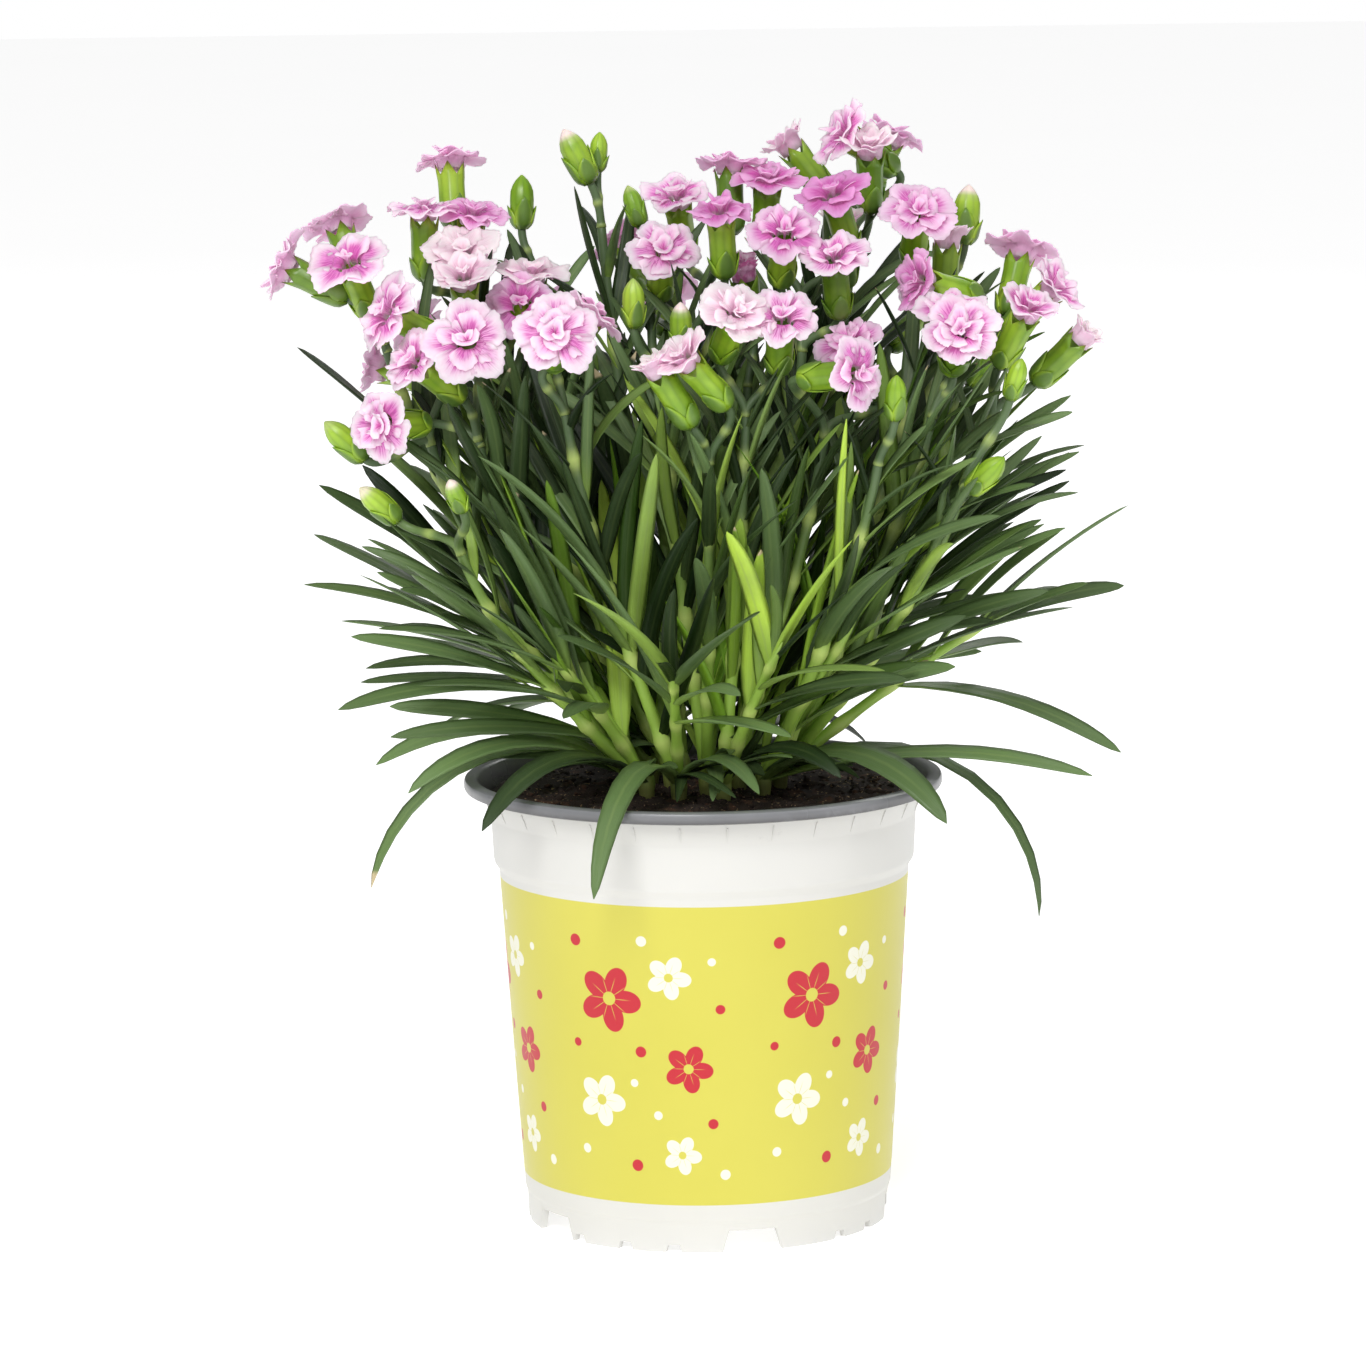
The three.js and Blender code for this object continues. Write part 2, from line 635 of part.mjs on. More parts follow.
// A main stem from the foot to the fork below its heads, bowed sideways where it has to be.
function stemCurves(start, fork) {
  const chord = fork.clone().sub(start);
  const out = point(chord.x, chord.y, 0);
  const sideways = point(-chord.y, chord.x, 0).normalize();
  return BOWS.flatMap((rise) => BOWS.map((bow) => {
    const bend = (share, lean, lift) => start.clone()
      .addScaledVector(chord, share)
      .addScaledVector(out, lean)
      .addScaledVector(sideways, bow)
      .addScaledVector(UP, lift);
    const lower = bend(LOWER_BEND.share, LOWER_BEND.lean, rise * 0.5);
    const upper = bend(UPPER_BEND.share, UPPER_BEND.lean, rise - UPPER_BEND.drop);
    return new THREE.CubicBezierCurve3(start, lower, upper, fork);
  }));
}

// A flower stem from the fork to its head, leaving along the main stem and ending along the head.
function pedicelCurves(fork, along, { base, axis }) {
  const reach = fork.distanceTo(base);
  const [first, second] = across(base.clone().sub(fork).normalize(), sideOf(axis));
  return BOWS.flatMap((lean) => BOWS.map((bow) => {
    const bend = (from, ahead, reachShare, swing) => from.clone()
      .addScaledVector(ahead, reach * reachShare)
      .addScaledVector(first, bow * swing)
      .addScaledVector(second, lean * swing);
    const lower = bend(fork, along, PEDICEL_BEND.ahead, 0.5);
    const upper = bend(base, axis, -PEDICEL_BEND.back, 0.4);
    return new THREE.CubicBezierCurve3(fork, lower, upper, base);
  }));
}

function tubeRings(curve, stations, hint, radiusAt) {
  return stations.map((t) => {
    const radius = radiusAt(t);
    return ring(curve.getPoint(t), curve.getTangent(t).normalize(), hint, STEM_SIDES, () => radius);
  });
}

// ---- Leaves ----

// A leaf is an arc in an upright plane: it leaves at one elevation and droops evenly from there.
function leafPoint({ start, azimuth, elevation, droop, curl, length }, t) {
  const lean = elevation * DEG;
  const turn = Math.max(droop * DEG, 0.02);
  const out = (length * (Math.sin(lean) - Math.sin(lean - turn * t))) / turn;
  const rise = (length * (Math.cos(lean - turn * t) - Math.cos(lean))) / turn;
  const swing = curl * length * t * t;
  const { x, y } = heading(azimuth, 0);
  return point(start.x + x * out - y * swing, start.y + y * out + x * swing, start.z + rise);
}

// Narrow where it leaves the stem, broadest in the middle, and running out to a point.
function leafWidth({ width }, t) {
  return width * Math.min(LEAF_ROOT + 3.2 * t, 1) * Math.sqrt(1 - t ** 3);
}

// The leaf's own directions at t: across it, and up from its face.
function leafFrame(leaf, t) {
  const step = 0.02;
  const ahead = leafPoint(leaf, t + step).sub(leafPoint(leaf, t - step)).normalize();
  const level = point(-Math.sin(leaf.azimuth * DEG), Math.cos(leaf.azimuth * DEG), 0);
  const [side] = across(ahead, level);
  return { side, face: ahead.clone().cross(side) };
}

function leafBody(leaf) {
  const bend = leaf.length * leaf.droop;
  const stations = LEAF_STATIONS.find(({ limit }) => bend < limit).places;
  const rings = stations.map((t) => {
    const centre = leafPoint(leaf, t);
    const { side, face } = leafFrame(leaf, t);
    const half = leafWidth(leaf, t) / 2;
    return [
      centre.clone().addScaledVector(side, half).addScaledVector(face, LEAF_CHANNEL),
      centre.clone().addScaledVector(side, -half).addScaledVector(face, LEAF_CHANNEL),
      centre.clone().addScaledVector(face, -LEAF_KEEL),
    ];
  });
  return solid(skin([...rings, [leafPoint(leaf, 1)]]));
}

function leafBalls(leaf) {
  const balls = [];
  const count = Math.ceil(leaf.length / 3);
  for (let i = 1; i <= count; i += 1) {
    const t = i / count;
    const centre = leafPoint(leaf, t);
    const { side } = leafFrame(leaf, t);
    const half = leafWidth(leaf, t) / 2;
    balls.push([centre, ROOM.leaf]);
    balls.push([centre.clone().addScaledVector(side, half), ROOM.leafEdge]);
    balls.push([centre.clone().addScaledVector(side, -half), ROOM.leafEdge]);
  }
  return balls;
}

// How a leaf may be turned, lifted and shortened to keep clear, in the order of the tries.
const TURNS = [0, 14, -14, 28, -28, 42, -42];
const LIFTS = [0, 12, -10, 24];
const SCALES = [1, 0.85, 0.7];
const STEEPEST = 86;

// The leaf as drawn, then turned, lifted or shortened, until it is clear.
function leafOptions(leaf) {
  return SCALES.flatMap((scale) => LIFTS.flatMap((lift) => TURNS.map((turn) => ({
    ...leaf,
    length: leaf.length * scale,
    elevation: Math.min(leaf.elevation + lift, STEEPEST),
    azimuth: leaf.azimuth + turn,
  }))));
}

// A leaf also keeps off its own shoot, but for the stem that it stands on.
function clearLeaf(owner, leaf) {
  const options = leafOptions(leaf);
  const { x, y, z } = leaf.start;
  const away = (t) => Math.hypot(t.x - x, t.y - y, t.z - z);
  const nearby = taken.filter((t) => away(t) < leaf.length + REACH_MARGIN);
  const others = nearby.filter((t) => t.owner !== owner || away(t) > OWN_ROOM);
  return options.find((option) => isClear(leafBalls(option), others));
}

// A pair of leaves at one joint of a stem, each standing out square from a side of the stem.
function leafPair({ curve, stations, hint }, { section, share, length, width, angle, droop }, side) {
  const below = curve.getPoint(stations[section]);
  const above = curve.getPoint(stations[section + 1]);
  const start = blend(below, above, share);
  const along = above.sub(below).normalize();
  const [u, v] = across(along, hint);
  return [side, side + 2 + (side % 2)].map((number) => {
    const around = ((number + 0.5) * 2 * Math.PI) / STEM_SIDES + between(-0.05, 0.05);
    const open = (angle + between(-7, 7)) * DEG;
    const away = u.clone().multiplyScalar(Math.cos(around)).addScaledVector(v, Math.sin(around));
    const ahead = along.clone().multiplyScalar(Math.cos(open)).addScaledVector(away, Math.sin(open));
    return {
      start,
      azimuth: Math.atan2(ahead.y, ahead.x) / DEG,
      elevation: Math.asin(ahead.z) / DEG,
      droop: droop * between(0.6, 1.5),
      curl: between(-0.14, 0.14),
      length: length * between(0.85, 1.15),
      width: width * between(0.85, 1.15),
    };
  });
}

// ---- The shoots: stems first, so that every leaf is bent clear of every stem ----

function growStem(shoot, start, numbers, first) {
  const ends = numbers.map((number) => heads[number]);
  const mean = ends.reduce((sum, { base }) => sum.add(base), point(0, 0, 0)).divideScalar(ends.length);
  const back = mean.clone().sub(start).normalize();
  const fork = mean.clone().addScaledVector(back, -FORK_DROP);
  const others = taken.filter(({ owner }) => owner !== shoot.owner);
  const pick = (options, room) => options.find((curve) => isClear(room(curve), others));
  const stem = pick(stemCurves(start, fork), (c) => pathBalls(c, 30, ROOM.stemTry).slice(2));
  occupy(shoot.owner, pathBalls(stem, 30, ROOM.stem));
  const along = stem.getTangent(1).normalize();
  const thick = (t) => (t > 0 ? STEM_RADIUS + (STEM_TIP_RADIUS - STEM_RADIUS) * t : ROOT_RADIUS);
  ends.forEach((head, i) => {
    const branch = blend(fork, stem.getPoint(STEM_STATIONS[2]), BRANCH_STEP * Math.max(i - 1, 0));
    const pedicel = pick(pedicelCurves(branch, along, head), (c) => pathBalls(c, 14, ROOM.pedicelTry));
    occupy(shoot.owner, pathBalls(pedicel, 12, ROOM.pedicel));
    const foot = first ? footRings(start, head.side) : [];
    const places = STEM_STATIONS.slice(first ? 1 : 0);
    const below = i === 0 ? [...foot, ...tubeRings(stem, places, head.side, thick)] : [];
    const upper = tubeRings(pedicel, i === 0 ? [] : PEDICEL_STATIONS, head.side,
      (t) => (t > 0 ? PEDICEL_RADIUS : PEDICEL_ROOT_RADIUS));
    shoot.parts.push(solid(skin([...below, ...upper, ...head.rings])));
  });
  const kind = first ? 'main' : 'side';
  shoot.curves.push({ curve: stem, stations: STEM_STATIONS, hint: ends[0].side, kind });
}

function growTuft(shoot, start, [azimuth, elevation, length]) {
  const ahead = heading(azimuth, elevation);
  const end = start.clone().addScaledVector(ahead, length);
  const middle = start.clone().addScaledVector(ahead, length / 2).addScaledVector(UP, TUFT_RISE);
  const curve = new THREE.QuadraticBezierCurve3(start, middle, end);
  const hint = sideOf(ahead);
  const thick = (t) => (t > 0 ? STEM_RADIUS - TUFT_TAPER * t : ROOT_RADIUS);
  occupy(shoot.owner, pathBalls(curve, 12, ROOM.tuft));
  shoot.parts.push(solid(skin([
    ...tubeRings(curve, TUFT_STATIONS, hint, thick),
    [end.clone().addScaledVector(ahead, 1)],
  ])));
  shoot.curves.push({ curve, stations: TUFT_STATIONS, hint, kind: 'tuft' });
}

// The foot of a shoot, upright in its hole in the soil.
function footRings(start, hint) {
  const around = (z) => ring(point(start.x, start.y, z), UP, hint, STEM_SIDES, () => FOOT_STEM_RADIUS);
  return [around(soilHeight(start.x, start.y) - HOLE_DEPTH + SOIL_GAP), around(CROWN_Z)];
}

const shoots = SHOOTS.map(({ foot, stems, tufts }, s) => {
  const shoot = { owner: `shoot ${s}`, parts: [], curves: [] };
  const start = point(...foot, CROWN_Z);
  const inSoil = point(...foot, (CROWN_Z + SOIL_Z) / 2 - 1);
  occupy(shoot.owner, [[start, ROOM.foot], [inSoil, ROOM.foot]]);
  stems.forEach((numbers, i) => growStem(shoot, start, numbers, i === 0));
  tufts.forEach((tuft) => growTuft(shoot, start, tuft));
  return shoot;
});

function growLeaf(shoot, leaf) {
  const clear = clearLeaf(shoot.owner, leaf);
  if (!clear) return;
  occupy(shoot.owner, leafBalls(clear));
  shoot.parts.push(leafBody(clear));
}

SHOOTS.forEach(({ foot, leaves }, s) => {
  leaves.forEach(([azimuth, elevation, droop, length, width]) => {
    const start = point(...foot, CROWN_Z - 0.5);
    growLeaf(shoots[s], { start, azimuth, elevation, droop, curl: 0, length, width });
  });
});
shoots.forEach((shoot) => {
  shoot.curves.forEach((stem) => {
    const first = Math.floor(between(0, STEM_SIDES));
    LEAVES[stem.kind].forEach((size, j) => {
      leafPair(stem, size, (first + j) % STEM_SIDES).forEach((leaf) => growLeaf(shoot, leaf));
    });
  });
});

shoots.forEach(({ parts }, s) => add(`shoot_${label(s + 1)}`, fused(parts), LEAF_GREEN, 0.55));

export default plant;
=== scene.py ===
import math

import bpy
import numpy as np
from mathutils import Matrix


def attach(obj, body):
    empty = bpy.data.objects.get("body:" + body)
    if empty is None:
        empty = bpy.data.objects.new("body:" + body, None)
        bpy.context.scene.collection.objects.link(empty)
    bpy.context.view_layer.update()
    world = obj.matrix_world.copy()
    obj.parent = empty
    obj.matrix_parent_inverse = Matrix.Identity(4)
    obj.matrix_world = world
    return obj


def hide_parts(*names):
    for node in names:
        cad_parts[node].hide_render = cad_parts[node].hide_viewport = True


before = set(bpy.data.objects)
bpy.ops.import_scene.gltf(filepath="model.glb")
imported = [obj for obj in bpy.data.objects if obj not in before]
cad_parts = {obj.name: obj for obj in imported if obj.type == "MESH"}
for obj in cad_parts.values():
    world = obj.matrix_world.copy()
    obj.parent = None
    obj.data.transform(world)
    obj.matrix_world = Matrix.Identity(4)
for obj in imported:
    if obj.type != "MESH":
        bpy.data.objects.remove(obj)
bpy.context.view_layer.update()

# ---- The pot ----
# A thin injection-moulded pot, white outside and grey inside, with a grey lip, a stepped collar
# and a foot ring that is notched for drainage. A yellow band of print runs round its wall.
# Its section is turned round the axis, and the foot ring's lower edge rises over each opening.

MM = 0.001
DEG = math.pi / 180
POT_SECTION = [
    (0, 6.4), (42.9, 6.4), (43.8, 5.6), (43.8, 0), (45.35, 0), (45.45, 0.3), (45.75, 7.1),
    (45.85, 7.5), (46.1, 7.9), (46.25, 8.5), (48.8, 47), (51.45, 89.2), (51.65, 90), (52.6, 91.3),
    (52.85, 92.3), (53.35, 102.8), (53.6, 103.6), (54.7, 106.6), (55.4, 108.2), (55.6, 109.2),
    (56.1, 109.5), (59.2, 109.5), (59.75, 109.75), (60, 110.3), (60, 111.6), (59.75, 112.2),
    (59.2, 112.5), (57.3, 112.5), (56.7, 112.3), (56.3, 111.7), (54.2, 107.6), (52.1, 104.3),
    (51.5, 92.4), (50.2, 89), (47.4, 47), (45, 9), (44.4, 8), (0, 8),
]
FIRST_GREY_POINT = 20
SHARP_EDGE = 38
POT_SIDES = 240
CLOSEST_SIDES = 0.002
SKIRT_POINTS = (3, 4, 5)
# The foot ring's openings, large and small: their angles, and their width, top width and height.
OPENINGS = [
    ((-76, -4, 68, 140, -148), (16, 12, 5.4)),
    ((-135, -117, -101, -44, -29, 27, 43, 99, 115, 171, 187), (4.6, 2.8, 1.9)),
]
FOOT_RADIUS = 45.4
# The print: the band's lower and upper edge, a spray's share of the round in degrees, the length
# of one degree, and each spray's blossoms and dots by place on it, height and size.
BAND = (12.2, 87.8)
SPRAY = 60
SPRAY_START = 18
DEGREE_LENGTH = 0.86
RED_BLOSSOMS = [(-9, 64, 8.5), (11, 47, 6.2)]
RED_DOTS = [(-18, 78, 1.5), (19, 62, 1.2), (-1, 51, 1.4), (-19, 52, 1.1), (17, 33, 1.3), (-3, 22, 1.5)]
WHITE_BLOSSOMS = [(6.5, 70, 5.6), (-12.5, 38, 6.8), (9, 25, 5)]
WHITE_DOTS = [(0, 79, 1.3), (17, 74, 1), (-3, 43, 1), (20, 20, 1.3), (-18, 25, 1.2), (3, 35, 1.1)]
BLOSSOM_PETALS = 5
BLOSSOM_TURN = 0.3
PRINT_EDGE = 0.12


class Value:
    """A socket of a node tree, so that sums on values add the Math nodes that they need."""

    def __init__(self, graph, socket):
        self.graph = graph
        self.socket = socket

    def math(self, operation, *others):
        values = dict(enumerate((self, *others)))
        return self.graph.node("ShaderNodeMath", {"operation": operation}, values)["Value"]

    def __add__(self, other):
        return self.math("ADD", other)

    def __sub__(self, other):
        return self.math("SUBTRACT", other)

    def __rsub__(self, other):
        return (self * -1).math("ADD", other)

    def __mul__(self, other):
        return self.math("MULTIPLY", other)

    def __truediv__(self, other):
        return self.math("DIVIDE", other)

    def __pow__(self, other):
        return self.math("POWER", other)

    __radd__ = __add__
    __rmul__ = __mul__

    def rises(self, low, high):
        """0 below low, 1 above high, and smooth between; low may be the larger."""
        sockets = {"Value": self, "From Min": low, "From Max": high}
        return self.graph.node("ShaderNodeMapRange", {"interpolation_type": "SMOOTHSTEP"}, sockets)["Result"]


class Graph:
    """Adds nodes to a shader or geometry tree."""

    def __init__(self, tree):
        self.tree = tree
        self.made = None

    def node(self, kind, settings=None, sockets=None):
        made = self.tree.nodes.new(kind)
        for key, value in (settings or {}).items():
            setattr(made, key, value)
        for key, value in (sockets or {}).items():
            for one in value if isinstance(value, list) else [value]:
                if isinstance(one, Value):
                    self.tree.links.new(one.socket, made.inputs[key])
                else:
                    made.inputs[key].default_value = one
        self.made = made
        return {output.name: Value(self, output) for output in reversed(made.outputs)}

    def output(self, number):
        """An output of the last node by its number, where several have the same name."""
        return Value(self, self.made.outputs[number])

    def mix(self, share, low, high):
        """A colour between two colours."""
        low, high = [(*c, 1) if isinstance(c, tuple) else c for c in (low, high)]
        self.node("ShaderNodeMix", {"data_type": "RGBA"}, {0: share, 6: low, 7: high})
        return self.output(2)

    def vector(self, x=0.0, y=0.0, z=0.0):
        return self.node("ShaderNodeCombineXYZ", None, {"X": x, "Y": y, "Z": z})["Vector"]

    def noise(self, vector, scale, detail=3.0, roughness=0.5):
        sockets = {"Vector": vector, "Scale": scale, "Detail": detail, "Roughness": roughness}
        return self.node("ShaderNodeTexNoise", None, sockets)["Fac"]

    def attribute(self, name):
        """One of the piece's own numbers, such as how far along a leaf a point lies."""
        return self.node("ShaderNodeAttribute", {"attribute_name": name}, None)["Fac"]


def linear(red, green, blue):
    """A colour as it is seen, 0 to 255, as light."""
    return tuple(round(((c / 255 + 0.055) / 1.055) ** 2.4, 4) for c in (red, green, blue))


def finish(name, colour, roughness, bump=None, bump_distance=0.0002, bump_strength=0.5, fixed=None):
    """A material whose colour, roughness and relief come from functions of its graph."""
    material = bpy.data.materials.new(name)
    material.use_nodes = True
    material.node_tree.nodes.clear()
    graph = Graph(material.node_tree)
    place = graph.node("ShaderNodeTexCoord")["Object"]
    sockets = dict(fixed or {})
    sockets["Base Color"] = colour(graph, place)
    sockets["Roughness"] = roughness(graph, place)
    if bump:
        relief = {"Height": bump(graph, place), "Distance": bump_distance, "Strength": bump_strength}
        sockets["Normal"] = graph.node("ShaderNodeBump", None, relief)["Normal"]
    surface = graph.node("ShaderNodeBsdfPrincipled", None, sockets)["BSDF"]
    graph.node("ShaderNodeOutputMaterial", None, {"Surface": surface})
    return material


def varied(scale, spread, base):
    """A roughness that varies a little over the surface, up from its base."""
    return lambda graph, place: graph.noise(place, scale) * spread + base


def shape(name, points, faces, numbers=None, edges=()):
    """A mesh from points in millimetres, with named numbers at its points."""
    mesh = bpy.data.meshes.new(name)
    mesh.from_pydata((np.asarray(points, float) * MM).tolist(), edges, faces)
    for key, values in (numbers or {}).items():
        layer = mesh.attributes.new(key, "FLOAT", "POINT")
        layer.data.foreach_set("value", np.asarray(values, np.float32))
    mesh.shade_smooth()
    return mesh


def piece(mesh, material=None, node=None):
    """A mesh as an object of its name, riding on the one body, in the place of a plain solid."""
    thing = bpy.data.objects.new(mesh.name, mesh)
    bpy.context.scene.collection.objects.link(thing)
    if material:
        mesh.materials.append(material)
    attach(thing, "root")
    if node:
        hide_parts(node)


def clamp(value):
    """The value, kept between 0 and 1."""
    return min(max(value, 0), 1)


def round_angles(count):
    return [2 * math.pi * k / count for k in range(count)]


def turned(section, angles, height_at=None):
    """A section of (radius, height) points turned round the axis, closed at both poles."""
    count = len(angles)
    points = []
    for index, (radius, height) in enumerate(section):
        if radius == 0:
            points.append((0, 0, height))
            continue
        for angle in angles:
            z = height_at(index, angle, height) if height_at else height
            points.append((radius * math.cos(angle), radius * math.sin(angle), z))
    starts = [0]
    for radius, _ in section:
        starts.append(starts[-1] + (1 if radius == 0 else count))
    faces = []
    for index in range(len(section) - 1):
        low, high = starts[index], starts[index + 1]
        for k in range(count):
            following = (k + 1) % count
            if section[index][0] == 0:
                faces.append((low, high + following, high + k))
            elif section[index + 1][0] == 0:
                faces.append((low + k, low + following, high))
            else:
                faces.append((low + k, low + following, high + following, high + k))
    return points, faces, starts


def opening_edges(width, top, height):
    """An opening's half angles at the foot and at its top."""
    slope = (width - top) / 2 / (height + 1)
    return (width / 2 - slope) / FOOT_RADIUS, top / 2 / FOOT_RADIUS


def skirt_rise(angle):
    """How far the foot ring's lower edge lies above the ground at an angle."""
    rise = 0.0
    for places, size in OPENINGS:
        foot, top = opening_edges(*size)
        for place in places:
            away = abs((angle - place * DEG + math.pi) % (2 * math.pi) - math.pi)
            rise = max(rise, size[2] * clamp((foot - away) / (foot - top)))
    return rise


pot_angles = round_angles(POT_SIDES)
for places, size in OPENINGS:
    for place in places:
        for half in opening_edges(*size):
            for corner in (half, -half):
                pot_angles.append((place * DEG + corner) % (2 * math.pi))
pot_angles = sorted(pot_angles)
pot_angles = [a for a, b in zip(pot_angles, [*pot_angles[1:], math.inf]) if b - a > CLOSEST_SIDES]


def pot_height(index, angle, height):
    return max(height, skirt_rise(angle)) if index in SKIRT_POINTS else height


pot_points, pot_faces, pot_starts = turned(POT_SECTION, pot_angles, pot_height)
pot_grey = np.zeros(len(pot_points))
pot_grey[pot_starts[FIRST_GREY_POINT]:] = 1


def band_print(graph, place):
    """Round the band stand loose sprays: red blossoms, white ones and a few dots."""
    axes = graph.node("ShaderNodeSeparateXYZ", None, {"Vector": place})
    around = axes["Y"].math("ARCTAN2", axes["X"]) / DEG
    height = axes["Z"] * 1000
    local = ((around + SPRAY_START).math("FLOORED_MODULO", SPRAY) - SPRAY / 2) * DEGREE_LENGTH

    def from_spot(x, y):
        across, up = local - x, height - y
        return across, up, (across * across + up * up).math("SQRT")

    def blossom(x, y, size):
        across, up, distance = from_spot(x, y)
        angle = up.math("ARCTAN2", across)
        wave = (angle * (BLOSSOM_PETALS / 2) + BLOSSOM_TURN).math("COSINE").math("ABSOLUTE")
        body = (distance - (wave * (0.45 * size) + 0.55 * size)).rises(PRINT_EDGE, -PRINT_EDGE)
        heart = (distance - 0.2 * size).rises(-0.1, 0.1)
        lines = (angle * (BLOSSOM_PETALS * 2) + BLOSSOM_TURN).math("COSINE").rises(0.93, 0.99)
        veins = 1 - lines * distance.rises(0.72 * size, 0.3 * size) * 0.8
        return body * heart * veins

    inks = []
    for blossoms, dots in ((RED_BLOSSOMS, RED_DOTS), (WHITE_BLOSSOMS, WHITE_DOTS)):
        ink = 0
        for spot in blossoms:
            ink = blossom(*spot) + ink
        for x, y, size in dots:
            ink = (from_spot(x, y)[2] - size).rises(PRINT_EDGE, -PRINT_EDGE) + ink
        inks.append(ink.math("MINIMUM", 1))
    return height, *inks


def pot_colour(graph, place):
    height, red, white = band_print(graph, place)
    cloud = graph.noise(place, 22.0, 2.0)
    shell = graph.mix(cloud, linear(202, 201, 197), linear(213, 212, 208))
    yellow = graph.mix(cloud, linear(195, 188, 68), linear(204, 197, 80))
    printed = graph.mix(red, yellow, linear(186, 22, 40))
    printed = graph.mix(white, printed, linear(226, 225, 208))
    low, high = BAND
    on_band = height.rises(low - 0.1, low + 0.1) * height.rises(high + 0.1, high - 0.1)
    grey_side = graph.attribute("grey").rises(0.4, 0.6)
    outside = graph.mix(on_band * (1 - grey_side), shell, printed)
    grey = graph.mix(graph.noise(place, 60.0, 4.0), linear(104, 105, 108), linear(138, 139, 142))
    soil_smudge_and_shade = graph.noise(place, 130.0, 5.0, 0.7).rises(0.62, 0.8) * height.rises(99, 110) * 0.4
    # Painted shade: the grey inner wall darkens down from the lip almost to the soil's colour, with some soil
    # stain in it, and this joins the spots of soil smudged near the top.
    inner_stain_and_shade = grey_side * height.rises(112.4, 108) * graph.noise(place, 90.0, 4.0, 0.7).rises(0.2, 0.5)
    soil_smudge_and_shade = soil_smudge_and_shade + inner_stain_and_shade * (1 - soil_smudge_and_shade) * 0.92
    return graph.mix(soil_smudge_and_shade, graph.mix(grey_side, outside, grey), linear(30, 23, 18))


def pot_roughness(graph, place):
    return graph.noise(place, 35.0, 3.0) * 0.14 + 0.3 - graph.attribute("grey") * 0.08


def pot_bump(graph, place):
    return graph.noise(place, 900.0, 2.0) * 0.4 + graph.noise(place, 60.0, 2.0)


plastic = finish("pot plastic", pot_colour, pot_roughness, pot_bump, 0.00006, 0.35)
pot_mesh = shape("pot_shell", pot_points, pot_faces, {"grey": pot_grey})
pot_mesh.set_sharp_from_angle(angle=SHARP_EDGE * DEG)
piece(pot_mesh, plastic, "pot")

# ---- The ribs under the lip ----
# Short upright ribs moulded on the neck, between the lip and the collar, all round the pot.
# One small block stands at each point of a ring, and leans with the wall behind it.

RIB_COUNT = 30
RIB = (0.6, 0.2, 4.2)
RIB_RADIUS = 54.45
RIB_HEIGHT = 106.1
RIB_LEAN = 24.5


def new_tree(name, inputs):
    """An empty geometry tree with its named inputs."""
    tree = bpy.data.node_groups.new(name, "GeometryNodeTree")
    tree.interface.new_socket("Geometry", in_out="INPUT", socket_type="NodeSocketGeometry")
    for label, kind in inputs:
        tree.interface.new_socket(label, in_out="INPUT", socket_type=f"NodeSocket{kind}")
    tree.interface.new_socket("Geometry", in_out="OUTPUT", socket_type="NodeSocketGeometry")
    graph = Graph(tree)
    return graph, graph.node("NodeGroupInput")


def close_tree(graph, geometry, material):
    """Ends a tree: its instances are made real and take the material."""
    real = graph.node("GeometryNodeRealizeInstances", None, {"Geometry": geometry})["Geometry"]
    coated = graph.node("GeometryNodeSetMaterial", None, {"Geometry": real, "Material": material})
    graph.node("NodeGroupOutput", None, {0: coated["Geometry"]})
    return graph.tree


def grown(name, mesh, tree, values):
    """The plain mesh that a tree makes from a starting mesh."""
    holder = bpy.data.objects.new(name, mesh)
    bpy.context.scene.collection.objects.link(holder)
    modifier = holder.modifiers.new("grow", "NODES")
    modifier.node_group = tree
    for item in tree.interface.items_tree:
        if item.in_out == "INPUT" and item.name in values:
            modifier[item.identifier] = values[item.name]
    evaluated = holder.evaluated_get(bpy.context.evaluated_depsgraph_get())
    made = bpy.data.meshes.new_from_object(evaluated)
    made.name = name
    holder.modifiers.clear()
    bpy.data.objects.remove(holder)
    return made


graph, given = new_tree("ring of ribs", [
    ("Count", "Int"), ("Radius", "Float"), ("Height", "Float"), ("Size", "Vector"), ("Lean", "Float"),
    ("Material", "Material"),
])
hoop = graph.node("GeometryNodeCurvePrimitiveCircle", None, {
    "Resolution": given["Count"],
    "Radius": given["Radius"],
})
raised = graph.node("GeometryNodeTransform", None, {
    "Geometry": hoop["Curve"],
    "Translation": graph.vector(z=given["Height"]),
})
spots = graph.node("GeometryNodeCurveToPoints", {"mode": "EVALUATED"}, {"Curve": raised["Geometry"]})
block = graph.node("GeometryNodeMeshCube", None, {"Size": given["Size"]})
leaning = graph.node("GeometryNodeTransform", None, {
    "Geometry": block["Mesh"],
    "Rotation": graph.vector(y=given["Lean"]),
})
outward = graph.node("FunctionNodeAlignRotationToVector", {"axis": "X", "pivot_axis": "Z"}, {
    "Vector": graph.node("GeometryNodeInputPosition")["Position"],
})
ribs = graph.node("GeometryNodeInstanceOnPoints", None, {
    "Points": spots["Points"],
    "Instance": leaning["Geometry"],
    "Rotation": outward["Rotation"],
})
rib_tree = close_tree(graph, ribs["Instances"], given["Material"])
rib_mesh = grown("pot_ribs", bpy.data.meshes.new("rib seed"), rib_tree, {
    "Count": RIB_COUNT,
    "Radius": RIB_RADIUS * MM,
    "Height": RIB_HEIGHT * MM,
    "Size": tuple(edge * MM for edge in RIB),
    "Lean": RIB_LEAN * DEG,
    "Material": plastic,
})
piece(rib_mesh)

# ---- The soil ----
# Dark peat with bits of bark and fibre, a little below the lip and swelling round the crown.
# Its surface is lumpy, and crumbs and splinters lie scattered over it.

SOIL_Z = 106
SOIL_SWELL = 2.6
SOIL_FALL = 0.25
SOIL_LUMP = 0.9
SOIL_SIDE = [(0, 8.4), (44, 8.4), (50, 89), (51.4, 103.5), (53, 106.4)]
SOIL_EDGE = 53
SOIL_RINGS = 30
SOIL_SIDES = 120
COLLAR_RADIUS = 53.4
CRUMB_REACH = 49
CRUMB_GRAIN = 900.0
CRUMB_DENT = 0.0012
